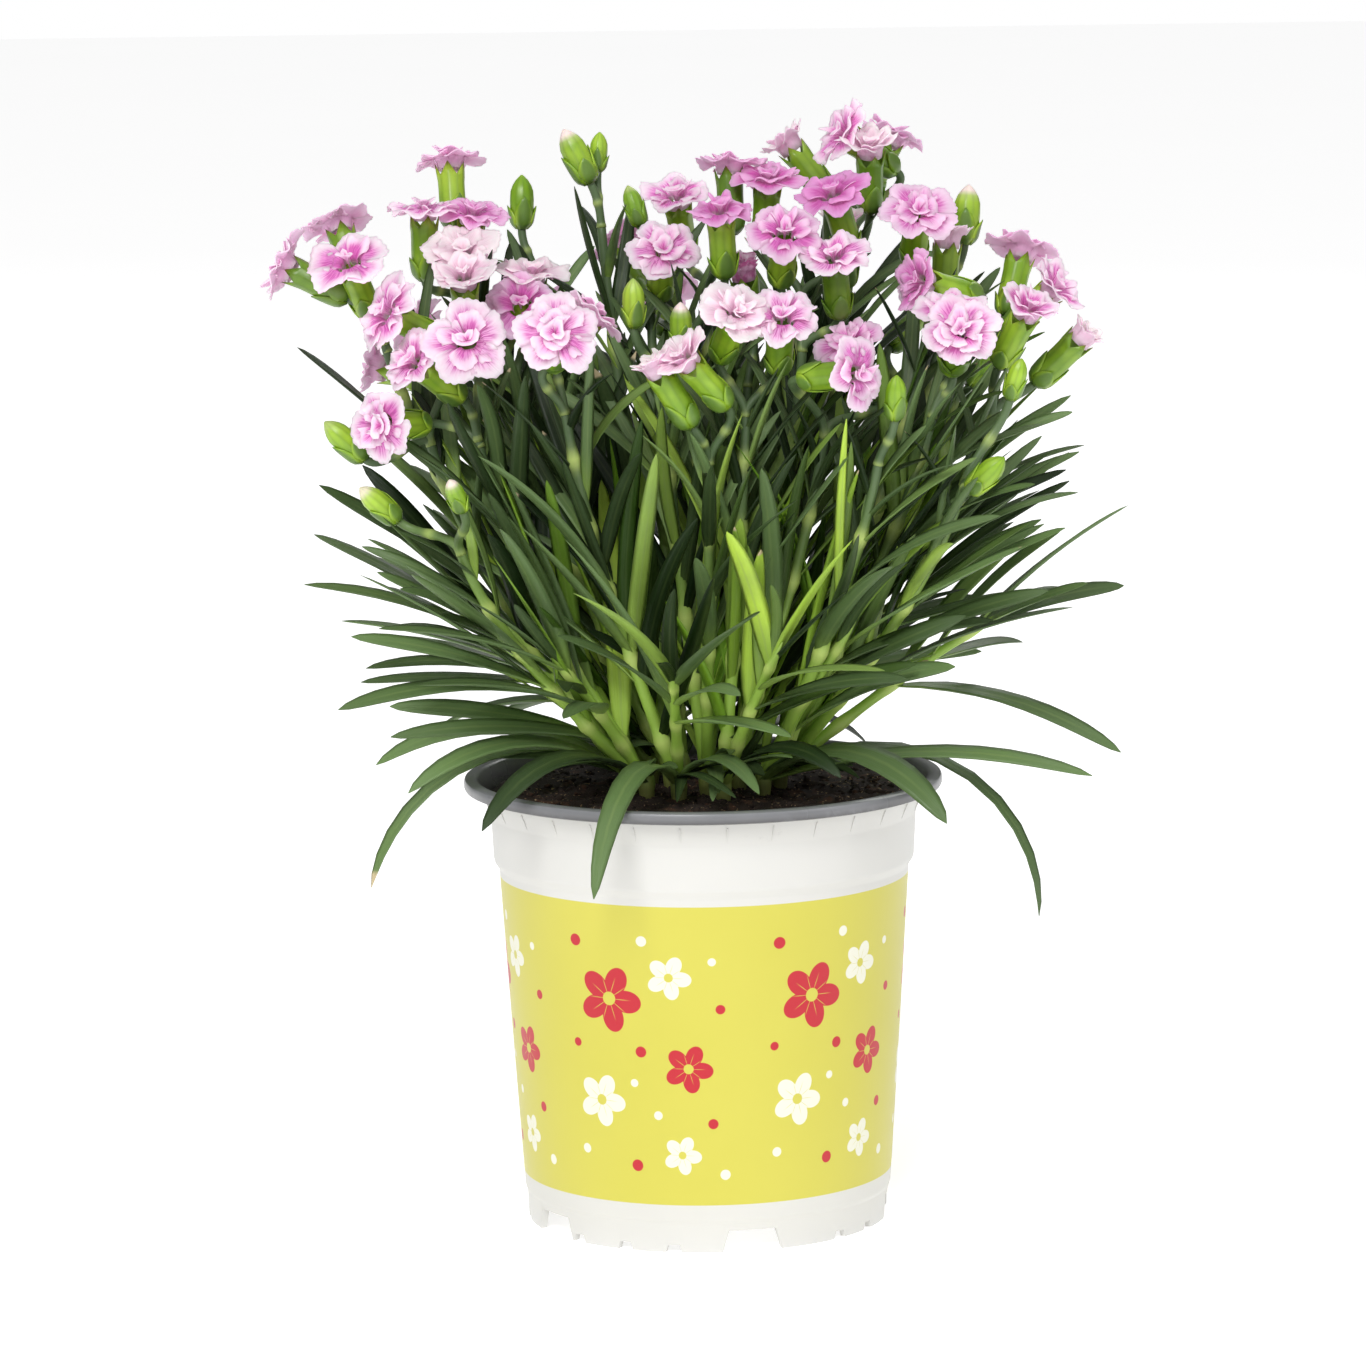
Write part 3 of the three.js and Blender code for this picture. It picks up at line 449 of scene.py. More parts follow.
# Crumbs, then splinters: the seed, how many, and how each is drawn out.
SCATTER = [
    (3, "Crumbs per square metre", (1, 0.8, 0.7)),
    (8, "Splinters per square metre", (2.4, 0.55, 0.45)),
]


def soil_height(x, y):
    distance = math.hypot(x, y) / COLLAR_RADIUS
    lumps = math.sin(x * 0.42 + 1) * math.cos(y * 0.37) + math.sin(x * 0.19 - y * 0.53)
    return SOIL_Z + SOIL_SWELL * (1 - SOIL_FALL * distance * distance) + SOIL_LUMP * lumps * 0.5


soil_section = SOIL_SIDE + [(SOIL_EDGE * (1 - k / SOIL_RINGS), SOIL_Z) for k in range(SOIL_RINGS)]
soil_points, soil_faces, soil_starts = turned([*soil_section, (0, SOIL_Z)], round_angles(SOIL_SIDES))
top_start = soil_starts[len(SOIL_SIDE)]
soil_points[top_start:] = [(x, y, soil_height(x, y)) for x, y, _ in soil_points[top_start:]]
soil_top = np.zeros(len(soil_points))
soil_top[top_start:] = 1


def soil_colour(graph, place):
    grain = graph.noise(place, 420.0, 6.0, 0.7)
    dark = graph.mix(grain, linear(12, 8, 6), linear(66, 48, 36))
    fleck = graph.noise(place, 900.0, 2.0).rises(0.64, 0.7)
    bark = graph.noise(place, 210.0, 2.0).rises(0.58, 0.66) * 0.6
    flecked = graph.mix(bark, dark, linear(92, 60, 40))
    return graph.mix(fleck * 0.8, flecked, linear(176, 150, 116))


def soil_bump(graph, place):
    return graph.noise(place, 700.0, 6.0, 0.75)


peat = finish("peat", soil_colour, varied(300.0, 0.25, 0.72), soil_bump, 0.0009, 0.9)

graph, given = new_tree("crumbly soil", [
    ("Lumpiness", "Float"), ("Crumbs per square metre", "Float"), ("Crumb size", "Float"),
    ("Splinters per square metre", "Float"), ("Material", "Material"),
])
ground = graph.node("GeometryNodeInputNamedAttribute", None, {"Name": "top"})["Attribute"]
spot = graph.node("GeometryNodeInputPosition")["Position"]
lumps = graph.noise(spot, 160.0, 4.0, 0.65) - 0.5
lumpy = graph.node("GeometryNodeSetPosition", None, {
    "Geometry": given["Geometry"],
    "Offset": graph.vector(z=lumps * given["Lumpiness"] * ground),
})["Geometry"]
axes = graph.node("ShaderNodeSeparateXYZ", None, {"Vector": spot})
inside = (axes["X"] * axes["X"] + axes["Y"] * axes["Y"]).math("LESS_THAN", (CRUMB_REACH * MM) ** 2)
flat = ground.math("GREATER_THAN", 0.5) * inside
scatter = [lumpy]
for seed, density, stretch in SCATTER:
    points = graph.node("GeometryNodeDistributePointsOnFaces", None, {
        "Mesh": lumpy, "Selection": flat, "Density": given[density], "Seed": seed,
    })
    ball = graph.node("GeometryNodeMeshIcoSphere", None, {"Radius": given["Crumb size"], "Subdivisions": 1})
    rough = graph.node("ShaderNodeTexNoise", None, {"Vector": spot, "Scale": CRUMB_GRAIN + seed})["Color"]
    push = graph.node("ShaderNodeVectorMath", {"operation": "SUBTRACT"}, {0: rough, 1: (0.5, 0.5, 0.5)})
    push = graph.node("ShaderNodeVectorMath", {"operation": "SCALE"}, {
        0: push["Vector"], "Scale": CRUMB_DENT,
    })
    lump = graph.node("GeometryNodeSetPosition", None, {"Geometry": ball["Mesh"], "Offset": push["Vector"]})
    drawn = graph.node("GeometryNodeTransform", None, {"Geometry": lump["Geometry"], "Scale": stretch})
    graph.node("FunctionNodeRandomValue", {"data_type": "FLOAT_VECTOR"}, {
        0: (-0.5, -0.5, 0), 1: (0.5, 0.5, 6.3), "Seed": seed,
    })
    rotation = graph.node("FunctionNodeEulerToRotation", None, {"Euler": graph.output(0)})["Rotation"]
    graph.node("FunctionNodeRandomValue", {"data_type": "FLOAT"}, {2: 0.0, 3: 1.0, "Seed": seed + 1})
    size = graph.output(1) ** 3 * 1.6 + 0.5
    scatter.append(graph.node("GeometryNodeInstanceOnPoints", None, {
        "Points": points["Points"], "Instance": drawn["Geometry"], "Rotation": rotation,
        "Scale": graph.vector(size, size, size),
    })["Instances"])
joined = graph.node("GeometryNodeJoinGeometry", None, {"Geometry": scatter})["Geometry"]
soil_tree = close_tree(graph, joined, given["Material"])
soil_mesh = grown("soil_bed", shape("smooth soil", soil_points, soil_faces, {"top": soil_top}), soil_tree, {
    "Lumpiness": 0.0042,
    "Crumbs per square metre": 100000.0,
    "Crumb size": 0.00076,
    "Splinters per square metre": 36000.0,
    "Material": peat,
})
soil_mesh.shade_smooth()
piece(soil_mesh, None, "soil")

# ---- Where everything grows ----
# The flowers and buds by number, and the sixteen shoots that carry them. Stems fork to the flowers'
# and buds' feet, each on the first bow that keeps clear of all that already stands.

# A flower's middle, the way it looks (round, then up), its petals' radius and how far it is open.
FLOWERS = {
    1: ((-62, 34, 266), 100, 72, 9.5, 1.1),
    2: ((-103, -2, 242), 168, 26, 9.5, 0.9),
    3: ((-90, 18, 251), 120, 52, 9, 0.95),
    4: ((-86, -12, 244), -115, 52, 10.5, 0.9),
    5: ((-68, 15, 255), -90, 86, 9.5, 1),
    6: ((-55.5, 17, 253.5), -60, 70, 9, 0.95),
    7: ((-77, -22, 232), -150, 28, 10.5, 1),
    8: ((-58, 3.5, 245), -95, 55, 10, 0.9),
    9: ((-57.5, -9, 239.8), -92, 58, 8.5, 0.6),
    10: ((-41, 11.5, 239), -80, 78, 9.5, 0.9),
    11: ((-44, 1, 231.5), -95, 30, 9, 0.85),
    12: ((-56, -36, 226), -97, 22, 10.5, 1),
    13: ((-34, -52, 229), -88, 27, 11, 1),
    14: ((-24, -32, 232), 15, 45, 9, 1),
    15: ((-70, -31, 221), -140, 35, 9, 0.85),
    16: ((-78, -34, 205), -125, 4, 9, 1),
    18: ((-82, 20, 214), 165, 12, 7, 0.6),
    20: ((-20, 54, 243), 140, 52, 9, 0.95),
    21: ((-8, 8, 244), -85, 45, 10, 0.95),
    22: ((-5, 44, 255), -105, 62, 9, 0.8),
    23: ((6, -2, 255), -100, 72, 8.5, 1),
    24: ((8.6, 30.4, 264.4), 95, 78, 9, 0.95),
    25: ((18.3, 23.8, 260.8), -80, 72, 9.5, 0.95),
    26: ((22, -13, 250), -85, 50, 9.5, 0.95),
    27: ((11.5, 14, 239), -120, 74, 7.5, 0.55),
    28: ((34, 6, 258), -120, 60, 9.5, 0.9),
    29: ((33.5, -19, 244.5), -100, 60, 9, 0.85),
    30: ((37, 24, 250), -95, 75, 6.5, 0.3),
    31: ((23, 46, 268), 170, 52, 7.5, 0.5),
    32: ((36.5, 29.5, 271), -155, 34, 9, 0.9),
    33: ((44, 24, 268.5), -90, 70, 8, 0.5),
    34: ((51, 54, 269), 30, 62, 9, 0.9),
    35: ((55, -6, 254), -85, 48, 10, 0.95),
    36: ((54, -16, 237), -150, 15, 8.5, 0.7),
    37: ((63, 16, 246), 60, 82, 7.5, 0.45),
    38: ((82, 22, 242), 60, 62, 9.5, 0.85),
    39: ((90, 4, 234), -25, 42, 8.5, 0.7),
    40: ((82, -18, 231), -45, 56, 8.5, 0.6),
    41: ((97, -4, 223), -15, 44, 5.5, 0.15),
    42: ((9.8, -48, 233.2), -72, 42, 9.5, 0.85),
    43: ((20.6, -45.4, 232), -85, 52, 9.5, 0.95),
    44: ((37, -20, 223), -125, 52, 9, 0.9),
    45: ((39, -58, 219), -42, 8, 9, 1),
    46: ((62, -30, 232), -95, 66, 9.5, 0.9),
    47: ((64, -39, 227), -86, 34, 10, 0.95),
    48: ((-4, -50, 223), -145, 45, 8, 0.6),
    49: ((-11, -46, 221), -160, 58, 6, 0.25),
    51: ((-42, 64, 224), 120, 38, 9.5, 0.95),
    52: ((-10, 74, 228), 98, 34, 10, 1),
    54: ((60, 54, 226), 45, 36, 9.5, 0.95),
    55: ((-72, 46, 222), 148, 34, 9, 0.9),
}
# A bud's tip, its direction (round, then up) and its size.
BUDS = {
    61: ((-33, 33, 272), 175, 64, 1.05),
    62: ((-24, 37, 271), 60, 82, 0.7),
    63: ((-44, 42, 260), 80, 84, 0.95),
    64: ((-17, 28, 258), 150, 70, 0.75),
    65: ((-15.5, -23, 239), -90, 84, 0.85),
    66: ((-92, -16, 204), 185, 44, 0.95),
    67: ((-83, -28, 189), -160, 42, 0.9),
    68: ((-60, -56, 194), -120, 55, 0.7),
    69: ((69, 29, 257), 60, 80, 1.05),
    70: ((74, -42, 196), -30, 42, 0.9),
    71: ((48, -48, 217), -80, 75, 0.8),
    72: ((79, -32, 219), -40, 70, 0.75),
    73: ((-4, -12, 232), -90, 78, 0.85),
    74: ((-30, 78, 206), 115, 50, 0.85),
    75: ((76, 44, 214), 30, 50, 0.85),
}
# A shoot's foot; the flowers and buds on each stem; its leafy side stems (round, up, length); and
# its long leaves at the crown (round, up, droop, length, width).
SHOOTS = [
    ((-19, 4), [[2, 3, 4]], [(170, 46, 50), (190, 54, 44)],
     [(197, 36, 112, 84, 6), (190, 35, 70, 72, 6.5)]),
    ((-13, 11), [[1, 5], [6, 8], [18]], [(154, 34, 46)],
     []),
    ((-18, -5), [[7, 66]], [(206, 52, 46)],
     [(206, 30, 80, 66, 7)]),
    ((-14, -13), [[12, 15, 16], [67, 68]], [(222, 50, 42)],
     [(228, 42, 90, 66, 7)]),
    ((-8, 3), [[9, 11], [10]], [],
     []),
    ((-6, -16), [[13, 14]], [(268, 48, 40)],
     [(250, 40, 112, 74, 6.5), (298, 36, 84, 46, 5)]),
    ((-5, 13), [[20, 64], [61, 62], [63]], [(118, 42, 36)],
     []),
    ((1, 8), [[22, 24], [27]], [],
     []),
    ((1, -8), [[21, 23], [48, 49], [65, 73]], [],
     []),
    ((5, -17), [[42, 43], [45, 44]], [(300, 54, 42)],
     [(290, 45, 95, 44, 6)]),
    ((9, -1), [[25, 28], [26, 29]], [],
     []),
    ((10, 9), [[31, 32], [33, 34, 30]], [(56, 36, 40)],
     []),
    ((15, -9), [[46, 47], [35, 36], [71]], [(322, 56, 44)],
     [(318, 40, 88, 66, 9), (336, 20, 36, 84, 6)]),
    ((19.3, 1), [[38, 39, 37], [40, 41], [69], [70, 72]], [(16, 33, 63), (356, 60, 50)],
     [(350, 46, 128, 92, 5)]),
    ((4, 18), [[52], [54, 75]], [(76, 48, 34)],
     [(50, 34, 74, 66, 7)]),
    ((-12, 18), [[51, 74], [55]], [],
     [(104, 36, 84, 62, 7)]),
]


def vec(x, y, z):
    return np.array((x, y, z), float)


UP = vec(0, 0, 1)


def heading(azimuth, elevation):
    """A direction from its angle round the plant and its angle up."""
    level = math.cos(elevation * DEG)
    return vec(level * math.cos(azimuth * DEG), level * math.sin(azimuth * DEG), math.sin(elevation * DEG))


def unit(vector):
    return vector / np.linalg.norm(vector)


def across(axis, hint):
    """Two directions square to an axis, the first as near the hint as can be."""
    first = unit(hint - axis * np.dot(hint, axis))
    return first, np.cross(axis, first)


def side_of(direction):
    side = np.cross(UP, direction)
    return unit(side) if np.linalg.norm(side) > 0.05 else vec(1, 0, 0)


def spoke(square, angle):
    """The direction at an angle between two square ones."""
    return math.cos(angle) * square[0] + math.sin(angle) * square[1]


def hoop_of(centre, axis, count, radius):
    square = across(axis, side_of(axis))
    return [centre + radius * spoke(square, angle) for angle in round_angles(count)]


class Draw:
    """Repeatable random numbers."""

    def __init__(self, seed):
        self.seed = seed

    def between(self, low, high):
        self.seed = (self.seed * 16807) % 2147483647
        return low + (high - low) * self.seed / 2147483647


class Bezier:
    """A curve through its first and last points, pulled towards those between."""

    def __init__(self, *pulls):
        self.pulls = np.array(pulls, float)

    def at(self, t):
        points = self.pulls
        while len(points) > 1:
            points = points[:-1] + (points[1:] - points[:-1]) * t
        return points[0]

    def along(self, t):
        low, high = max(t - 1e-4, 0), min(t + 1e-4, 1)
        return unit(self.at(high) - self.at(low))

    def balls(self, count, radius):
        return [(self.at(i / count), radius) for i in range(count + 1)]


RIM_TOP = 112.5
RIM_REACH = 60.6
ROOM_OVER_SOIL = 0.6
NEAR = 6
ROOTED_BALLS = 6
room = {"owners": np.zeros(0, int), "balls": np.zeros((0, 4))}


def ball_rows(balls):
    return balls if isinstance(balls, np.ndarray) else np.array([(*point, radius) for point, radius in balls])


def occupy(owner, balls):
    """Enters what stands in a place, as balls, under its shoot's number or its flower's, negative."""
    rows = ball_rows(balls)
    room["owners"] = np.append(room["owners"], [owner] * len(rows))
    room["balls"] = np.vstack((room["balls"], rows))


def is_clear(balls, others):
    """True where balls keep off the others, and all but the first few off the pot and the soil."""
    rows = ball_rows(balls)
    late = rows[ROOTED_BALLS:]
    distance = np.hypot(late[:, 0], late[:, 1])
    floor = np.where(distance < COLLAR_RADIUS, SOIL_Z + SOIL_SWELL + SOIL_LUMP, RIM_TOP)
    low_down = late[:, 2] < floor + late[:, 3] + ROOM_OVER_SOIL
    if np.any((distance < RIM_REACH + late[:, 3]) & low_down):
        return False
    if not len(others):
        return True
    low = rows[:, :3].min(0) - NEAR
    high = rows[:, :3].max(0) + NEAR
    near = others[np.all((others[:, :3] > low) & (others[:, :3] < high), axis=1)]
    gaps = sum((rows[:, None, k] - near[None, :, k]) ** 2 for k in range(3))
    reach = rows[:, None, 3] + near[None, :, 3]
    return bool(np.all(gaps >= reach * reach))


CALYX_LENGTH = 14
CALYX_RADIUS = 3.3
CALYX_BALLS = (12, 8.5, 5, 1.5)
# Balls along a stem and their radius: as it looks for room, leaving out those at its foot, and as
# it stands.
STEM_ROOM = (30, 2, 2)
STEM_BALLS = (30, 1.6)
PEDICEL_ROOM = (14, 1.5, 0)
PEDICEL_BALLS = (12, 1.3)
TUFT_BALLS = (12, 1.8)
FLOWER_DEPTH = 5
FLOWER_RINGS = [(5, 0.5, 2.6), (10, 0.86, 2.3)]
CLOSED_LIFT = 80
FORK_DROP = 13
STEM_SIDES = 5
STEM_PLACES = [0, 0.32, 0.66, 1]
TUFT_PLACES = [0, 0.5, 1]
CROWN_Z = 112
BOWS = [0, 5, -5, 10, -10, 15, -15]
FLOWER_DRAWS = 25
draw = Draw(15)

flowers = {}
for number, (centre, azimuth, elevation, radius, openness) in FLOWERS.items():
    axis = heading(azimuth, elevation)
    mouth = np.array(centre, float) - FLOWER_DEPTH * axis
    flowers[number] = {
        "axis": axis, "side": side_of(axis), "mouth": mouth, "radius": radius, "open": openness,
    }
    lift = (1 - openness) * CLOSED_LIFT * DEG
    middle = mouth + axis * (FLOWER_DEPTH + radius * 0.5 * math.sin(lift))
    balls = [(middle, 4.2)]
    for count, share, size in FLOWER_RINGS:
        balls += [(p, size) for p in hoop_of(middle, axis, count, radius * math.cos(lift) * share)]
    occupy(-number, balls)
# These draws belong to the plain solids' flowers. The stems and leaves come after them.
for _ in range(FLOWER_DRAWS * len(flowers)):
    draw.between(0, 1)

heads = {}
for s, (_, stems, _, _) in enumerate(SHOOTS):
    for number in sum(stems, []):
        if number in flowers:
            head = dict(flowers[number], size=1, bud=False)
        else:
            tip, azimuth, elevation, size = BUDS[number]
            axis = heading(azimuth, elevation)
            head = {"axis": axis, "side": side_of(axis), "size": size, "bud": True}
            head["mouth"] = np.array(tip, float)
        head["base"] = head["mouth"] - head["axis"] * CALYX_LENGTH * head["size"]
        heads[number] = head
        occupy(s, [(head["mouth"] - head["axis"] * away * head["size"], CALYX_RADIUS * head["size"] + 0.1)
                   for away in CALYX_BALLS])


def first_clear(curves, room_needed, others):
    count, radius, skip = room_needed
    return next(curve for curve in curves if is_clear(curve.balls(count, radius)[skip:], others))


def stem_curves(start, fork):
    """Curves from a shoot's foot to a stem's fork, the plainest first."""
    chord = fork - start
    out = vec(chord[0], chord[1], 0)
    sideways = unit(vec(-chord[1], chord[0], 0))
    for rise in BOWS:
        for bow in BOWS:
            pulls = [start + chord * share + out * lean + sideways * bow + UP * lift
                     for share, lean, lift in ((0.3, 0.08, rise * 0.5), (0.72, 0.12, rise - 4))]
            yield Bezier(start, *pulls, fork)


def pedicel_curves(fork, along, head):
    """Curves from a fork to the foot of a flower's or bud's calyx, the plainest first."""
    reach = np.linalg.norm(fork - head["base"])
    first, second = across(unit(head["base"] - fork), side_of(head["axis"]))
    for lean in BOWS:
        for bow in BOWS:
            swing = first * bow + second * lean
            yield Bezier(fork, fork + along * reach * 0.35 + swing * 0.5,
                         head["base"] - head["axis"] * reach * 0.4 + swing * 0.4, head["base"])


shoots = []
for s, (foot, stems, tufts, _) in enumerate(SHOOTS):
    shoot = {"stems": [], "pedicels": [], "tufts": [], "paths": [], "leaves": [], "foot": foot}
    start = vec(*foot, CROWN_Z)
    occupy(s, [(start, 2.6), (start - UP * 4, 2.6)])
    for i, numbers in enumerate(stems):
        ends = [heads[number] for number in numbers]
        mean = sum(head["base"] for head in ends) / len(ends)
        fork = mean - FORK_DROP * unit(mean - start)
        others = room["balls"][room["owners"] != s]
        stem = first_clear(stem_curves(start, fork), STEM_ROOM, others)
        occupy(s, stem.balls(*STEM_BALLS))
        for j, (number, head) in enumerate(zip(numbers, ends)):
            high = stem.at(STEM_PLACES[2])
            branch = fork + (high - fork) * 0.05 * max(j - 1, 0)
            pedicel = first_clear(pedicel_curves(branch, stem.along(1), head), PEDICEL_ROOM, others)
            occupy(s, pedicel.balls(*PEDICEL_BALLS))
            shoot["pedicels"].append((number, pedicel))
        shoot["stems"].append(stem)
        shoot["paths"].append((stem, STEM_PLACES, ends[0]["side"], "main" if i == 0 else "side"))
    for azimuth, elevation, length in tufts:
        ahead = heading(azimuth, elevation)
        tuft = Bezier(start, start + ahead * length * 0.5 + UP * 3, start + ahead * length)
        occupy(s, tuft.balls(*TUFT_BALLS))
        shoot["tufts"].append(tuft)
        shoot["paths"].append((tuft, TUFT_PLACES, side_of(ahead), "tuft"))
    shoots.append(shoot)

# ---- The leaves ----
# Long narrow glaucous blades in crossed pairs, keeled below and channelled above, thick and
# smooth, with a pale midrib and clasping base. Each is swept along its own drooping arc: first
# those of the plain solids, then thinner ones between them and round the crown.

# By kind of stem: each pair's stretch of the stem, its place on that, the leaves' length and width,
# their angle to the stem, and their droop. First the plain solids' pairs, then those between them.
LEAF_PAIRS = {
    "main": [(0, 0.4, 62, 5.6, 34, 22), (1, 0.12, 58, 5.2, 28, 14), (2, 0.12, 44, 4.4, 25, 10)],
    "side": [(1, 0.3, 56, 5.2, 27, 14)],
    "tuft": [(1, 0.12, 54, 5.8, 36, 24), (1, 0.9, 50, 5.4, 18, 18)],
}
EXTRA_PAIRS = {
    "main": [(0, 0.85, 66, 4.8, 20, 18), (1, 0.45, 58, 4.4, 22, 18), (1, 0.8, 50, 4, 24, 20),
             (2, 0.5, 38, 3.6, 26, 22), (2, 0.85, 24, 3, 28, 20), (1, 0.28, 56, 4.2, 14, 12),
             (1, 0.62, 50, 4, 14, 12), (2, 0.3, 42, 3.6, 16, 14)],
    "side": [(0, 0.8, 62, 4.8, 20, 18), (1, 0.75, 50, 4.2, 22, 18), (1, 0.5, 52, 4, 14, 12),
             (2, 0.2, 40, 3.8, 26, 20), (2, 0.7, 26, 3.2, 28, 18), (2, 0.45, 36, 3.6, 18, 14)],
    "tuft": [(1, 0.5, 46, 4.6, 28, 22), (1, 0.97, 34, 3.6, 14, 14)],
}
CROWN_LEAVES = 6
CROWN_LEAF = {"swing": (-80, 80), "elevation": (48, 80), "droop": (5, 50), "length": (40, 86)}
SKIRT_LEAVES = 3
SKIRT_LEAF = {"swing": (-75, 75), "elevation": (12, 48), "droop": (20, 70), "length": (16, 36)}
# Shoots with feet further to a side, or further back, have darker leaves at the crown: painted shade of the
# plant's sides and back.
SHADED_FEET = (36, 8)
EXTRA_SLACK = 1.15
LEAF_MARGIN = 8
OWN_REACH = 10
# The left side stays bare above the low leaves, and so do the stems' joints in the low middle.
BARE_SIDE = (-72, 184)
BARE_MIDDLE = {"x": 4, "reach": 30, "front": -12, "low": 110, "high": 146}
# What a leaf tries in turn until it is clear: shorter lengths, lifts and turns.
SCALES = [1, 0.85, 0.7]
LIFTS = [0, 12, -10, 24]
TURNS = [0, 14, -14, 28, -28, 42, -42]
STEEPEST_LEAF = 86
LEAF_BALL_STEP = 3
LEAF_BALL_RADII = (1.6, 1.3, 1.3)


def leaf_points(leaf, t):
    """Points along a leaf's middle, which bends down along an arc and curls to one side."""
    lean = leaf["elevation"] * DEG
    turn = max(leaf["droop"] * DEG, 0.02)
    out = leaf["length"] * (math.sin(lean) - np.sin(lean - turn * t)) / turn
    rise = leaf["length"] * (np.cos(lean - turn * t) - math.cos(lean)) / turn
    swing = leaf["curl"] * leaf["length"] * t * t
    x, y, _ = heading(leaf["azimuth"], 0)
    return leaf["start"] + np.stack((x * out - y * swing, y * out + x * swing, rise), axis=1)


def leaf_widths(leaf, t):
    return leaf["width"] * np.minimum(0.1 + 3.2 * t, 1) * np.sqrt(np.maximum(1 - t ** 3, 0))


def leaf_balls(leaf, slack=0.0):
    """Balls along a leaf's middle and edges, each smaller by the slack."""
    level = vec(-math.sin(leaf["azimuth"] * DEG), math.cos(leaf["azimuth"] * DEG), 0)
    count = math.ceil(leaf["length"] / LEAF_BALL_STEP)
    t = np.arange(1, count + 1) / count
    centres = leaf_points(leaf, t)
    ahead = leaf_points(leaf, t + 0.02) - leaf_points(leaf, t - 0.02)
    ahead /= np.linalg.norm(ahead, axis=1, keepdims=True)
    side = level - ahead * (ahead @ level)[:, None]
    side *= (leaf_widths(leaf, t) / 2 / np.linalg.norm(side, axis=1))[:, None]
    rows = np.zeros((count, 3, 4))
    rows[:, 0, :3], rows[:, 1, :3], rows[:, 2, :3] = centres, centres + side, centres - side
    rows[:, :, 3] = np.array(LEAF_BALL_RADII) - slack
    return rows.reshape(-1, 4)


def grow_leaf(s, leaf, slack=0.0):
    """The leaf as drawn, or turned, lifted or shortened until it is clear of all that stands."""
    balls, owners = room["balls"], room["owners"]
    distance = np.linalg.norm(balls[:, :3] - leaf["start"], axis=1)
    nearby = distance < leaf["length"] + LEAF_MARGIN
    others = balls[nearby & ((owners != s) | (distance > OWN_REACH))]
    others = others - np.array((0, 0, 0, slack))
    for scale in SCALES:
        for lift in LIFTS:
            for turn in TURNS:
                option = dict(leaf, length=leaf["length"] * scale, azimuth=leaf["azimuth"] + turn,
                              elevation=min(leaf["elevation"] + lift, STEEPEST_LEAF))
                if is_clear(leaf_balls(option, slack), others):
                    occupy(s, leaf_balls(option))
                    shoots[s]["leaves"].append(option)
                    return


def leaf_pair(path, size, side, chance):
    """Two opposite leaves of a size from LEAF_PAIRS, at their place along a stem's path."""
    curve, places, hint, _ = path
    section, share, length, width, angle, droop = size
    below, above = curve.at(places[section]), curve.at(places[section + 1])
    start = below + (above - below) * share
    along = unit(above - below)
    square = across(along, hint)
    pair = []
    for number in (side, side + 2 + side % 2):
        around = (number + 0.5) * 2 * math.pi / STEM_SIDES + chance.between(-0.05, 0.05)
        opened = (angle + chance.between(-7, 7)) * DEG
        ahead = along * math.cos(opened) + spoke(square, around) * math.sin(opened)
        pair.append({
            "start": start,
            "azimuth": math.atan2(ahead[1], ahead[0]) / DEG,
            "elevation": math.asin(ahead[2]) / DEG,
            "droop": droop * chance.between(0.6, 1.5),
            "curl": chance.between(-0.14, 0.14),
            "length": length * chance.between(0.85, 1.15),
            "width": width * chance.between(0.85, 1.15),
        })
    return pair


for s, (foot, _, _, leaves) in enumerate(SHOOTS):
    for azimuth, elevation, droop, length, width in leaves:
        grow_leaf(s, {"start": vec(*foot, CROWN_Z - 0.5), "azimuth": azimuth, "elevation": elevation,
                      "droop": droop, "curl": 0, "length": length, "width": width})
for s, shoot in enumerate(shoots):
    for path in shoot["paths"]:
        first = math.floor(draw.between(0, STEM_SIDES))
        for j, size in enumerate(LEAF_PAIRS[path[3]]):
            for leaf in leaf_pair(path, size, (first + j) % STEM_SIDES, draw):
                grow_leaf(s, leaf)
for shoot in shoots:
    shoot["solid"] = len(shoot["leaves"])
spare = Draw(77)


def hides_stems(leaf):
    """Whether the leaf stands before the low middle of the plant, where the stems' joints show."""
    x, y, z = leaf_points(leaf, np.linspace(0.25, 1, 6)).T
    inside = (np.abs(x - BARE_MIDDLE["x"]) < BARE_MIDDLE["reach"]) & (y < BARE_MIDDLE["front"])
    return bool(np.any(inside & (z > BARE_MIDDLE["low"]) & (z < BARE_MIDDLE["high"])))


for s, shoot in enumerate(shoots):
    x, y = shoot["foot"]
    outward = math.atan2(y, x) / DEG
    shaded = abs(x) > SHADED_FEET[0] or y > SHADED_FEET[1]
    for k, ranges in enumerate([CROWN_LEAF] * CROWN_LEAVES + [SKIRT_LEAF] * SKIRT_LEAVES):
        skirt = ranges is SKIRT_LEAF
        leaf = {
            "start": vec(x, y, CROWN_Z + spare.between(0, 4)),
            "azimuth": outward + spare.between(*ranges["swing"]),
            "elevation": spare.between(*ranges["elevation"]),
            "droop": spare.between(*ranges["droop"]),
            "curl": spare.between(-0.3, 0.3),
            "length": spare.between(*ranges["length"]),
            "width": spare.between(2.8, 4.4),
            "dark": not skirt and shaded,
            "fresh": not skirt and not shaded and k % 3 > 0,
        }
        if skirt or not hides_stems(leaf):
            grow_leaf(s, leaf, EXTRA_SLACK)
for s, shoot in enumerate(shoots):
    for path in shoot["paths"]:
        first = math.floor(spare.between(0, STEM_SIDES))
        for j, size in enumerate(EXTRA_PAIRS[path[3]]):
            for leaf in leaf_pair(path, size, (first + j) % STEM_SIDES, spare):
                leaf["droop"] *= spare.between(0.3, 1.9)
                leaf["curl"] *= 2
                tip = leaf_points(leaf, np.array([1.0]))[0]
                hidden = path[3] != "tuft" and hides_stems(leaf)
                if not hidden and (tip[0] > BARE_SIDE[0] or tip[2] < BARE_SIDE[1]):
                    grow_leaf(s, leaf, EXTRA_SLACK)


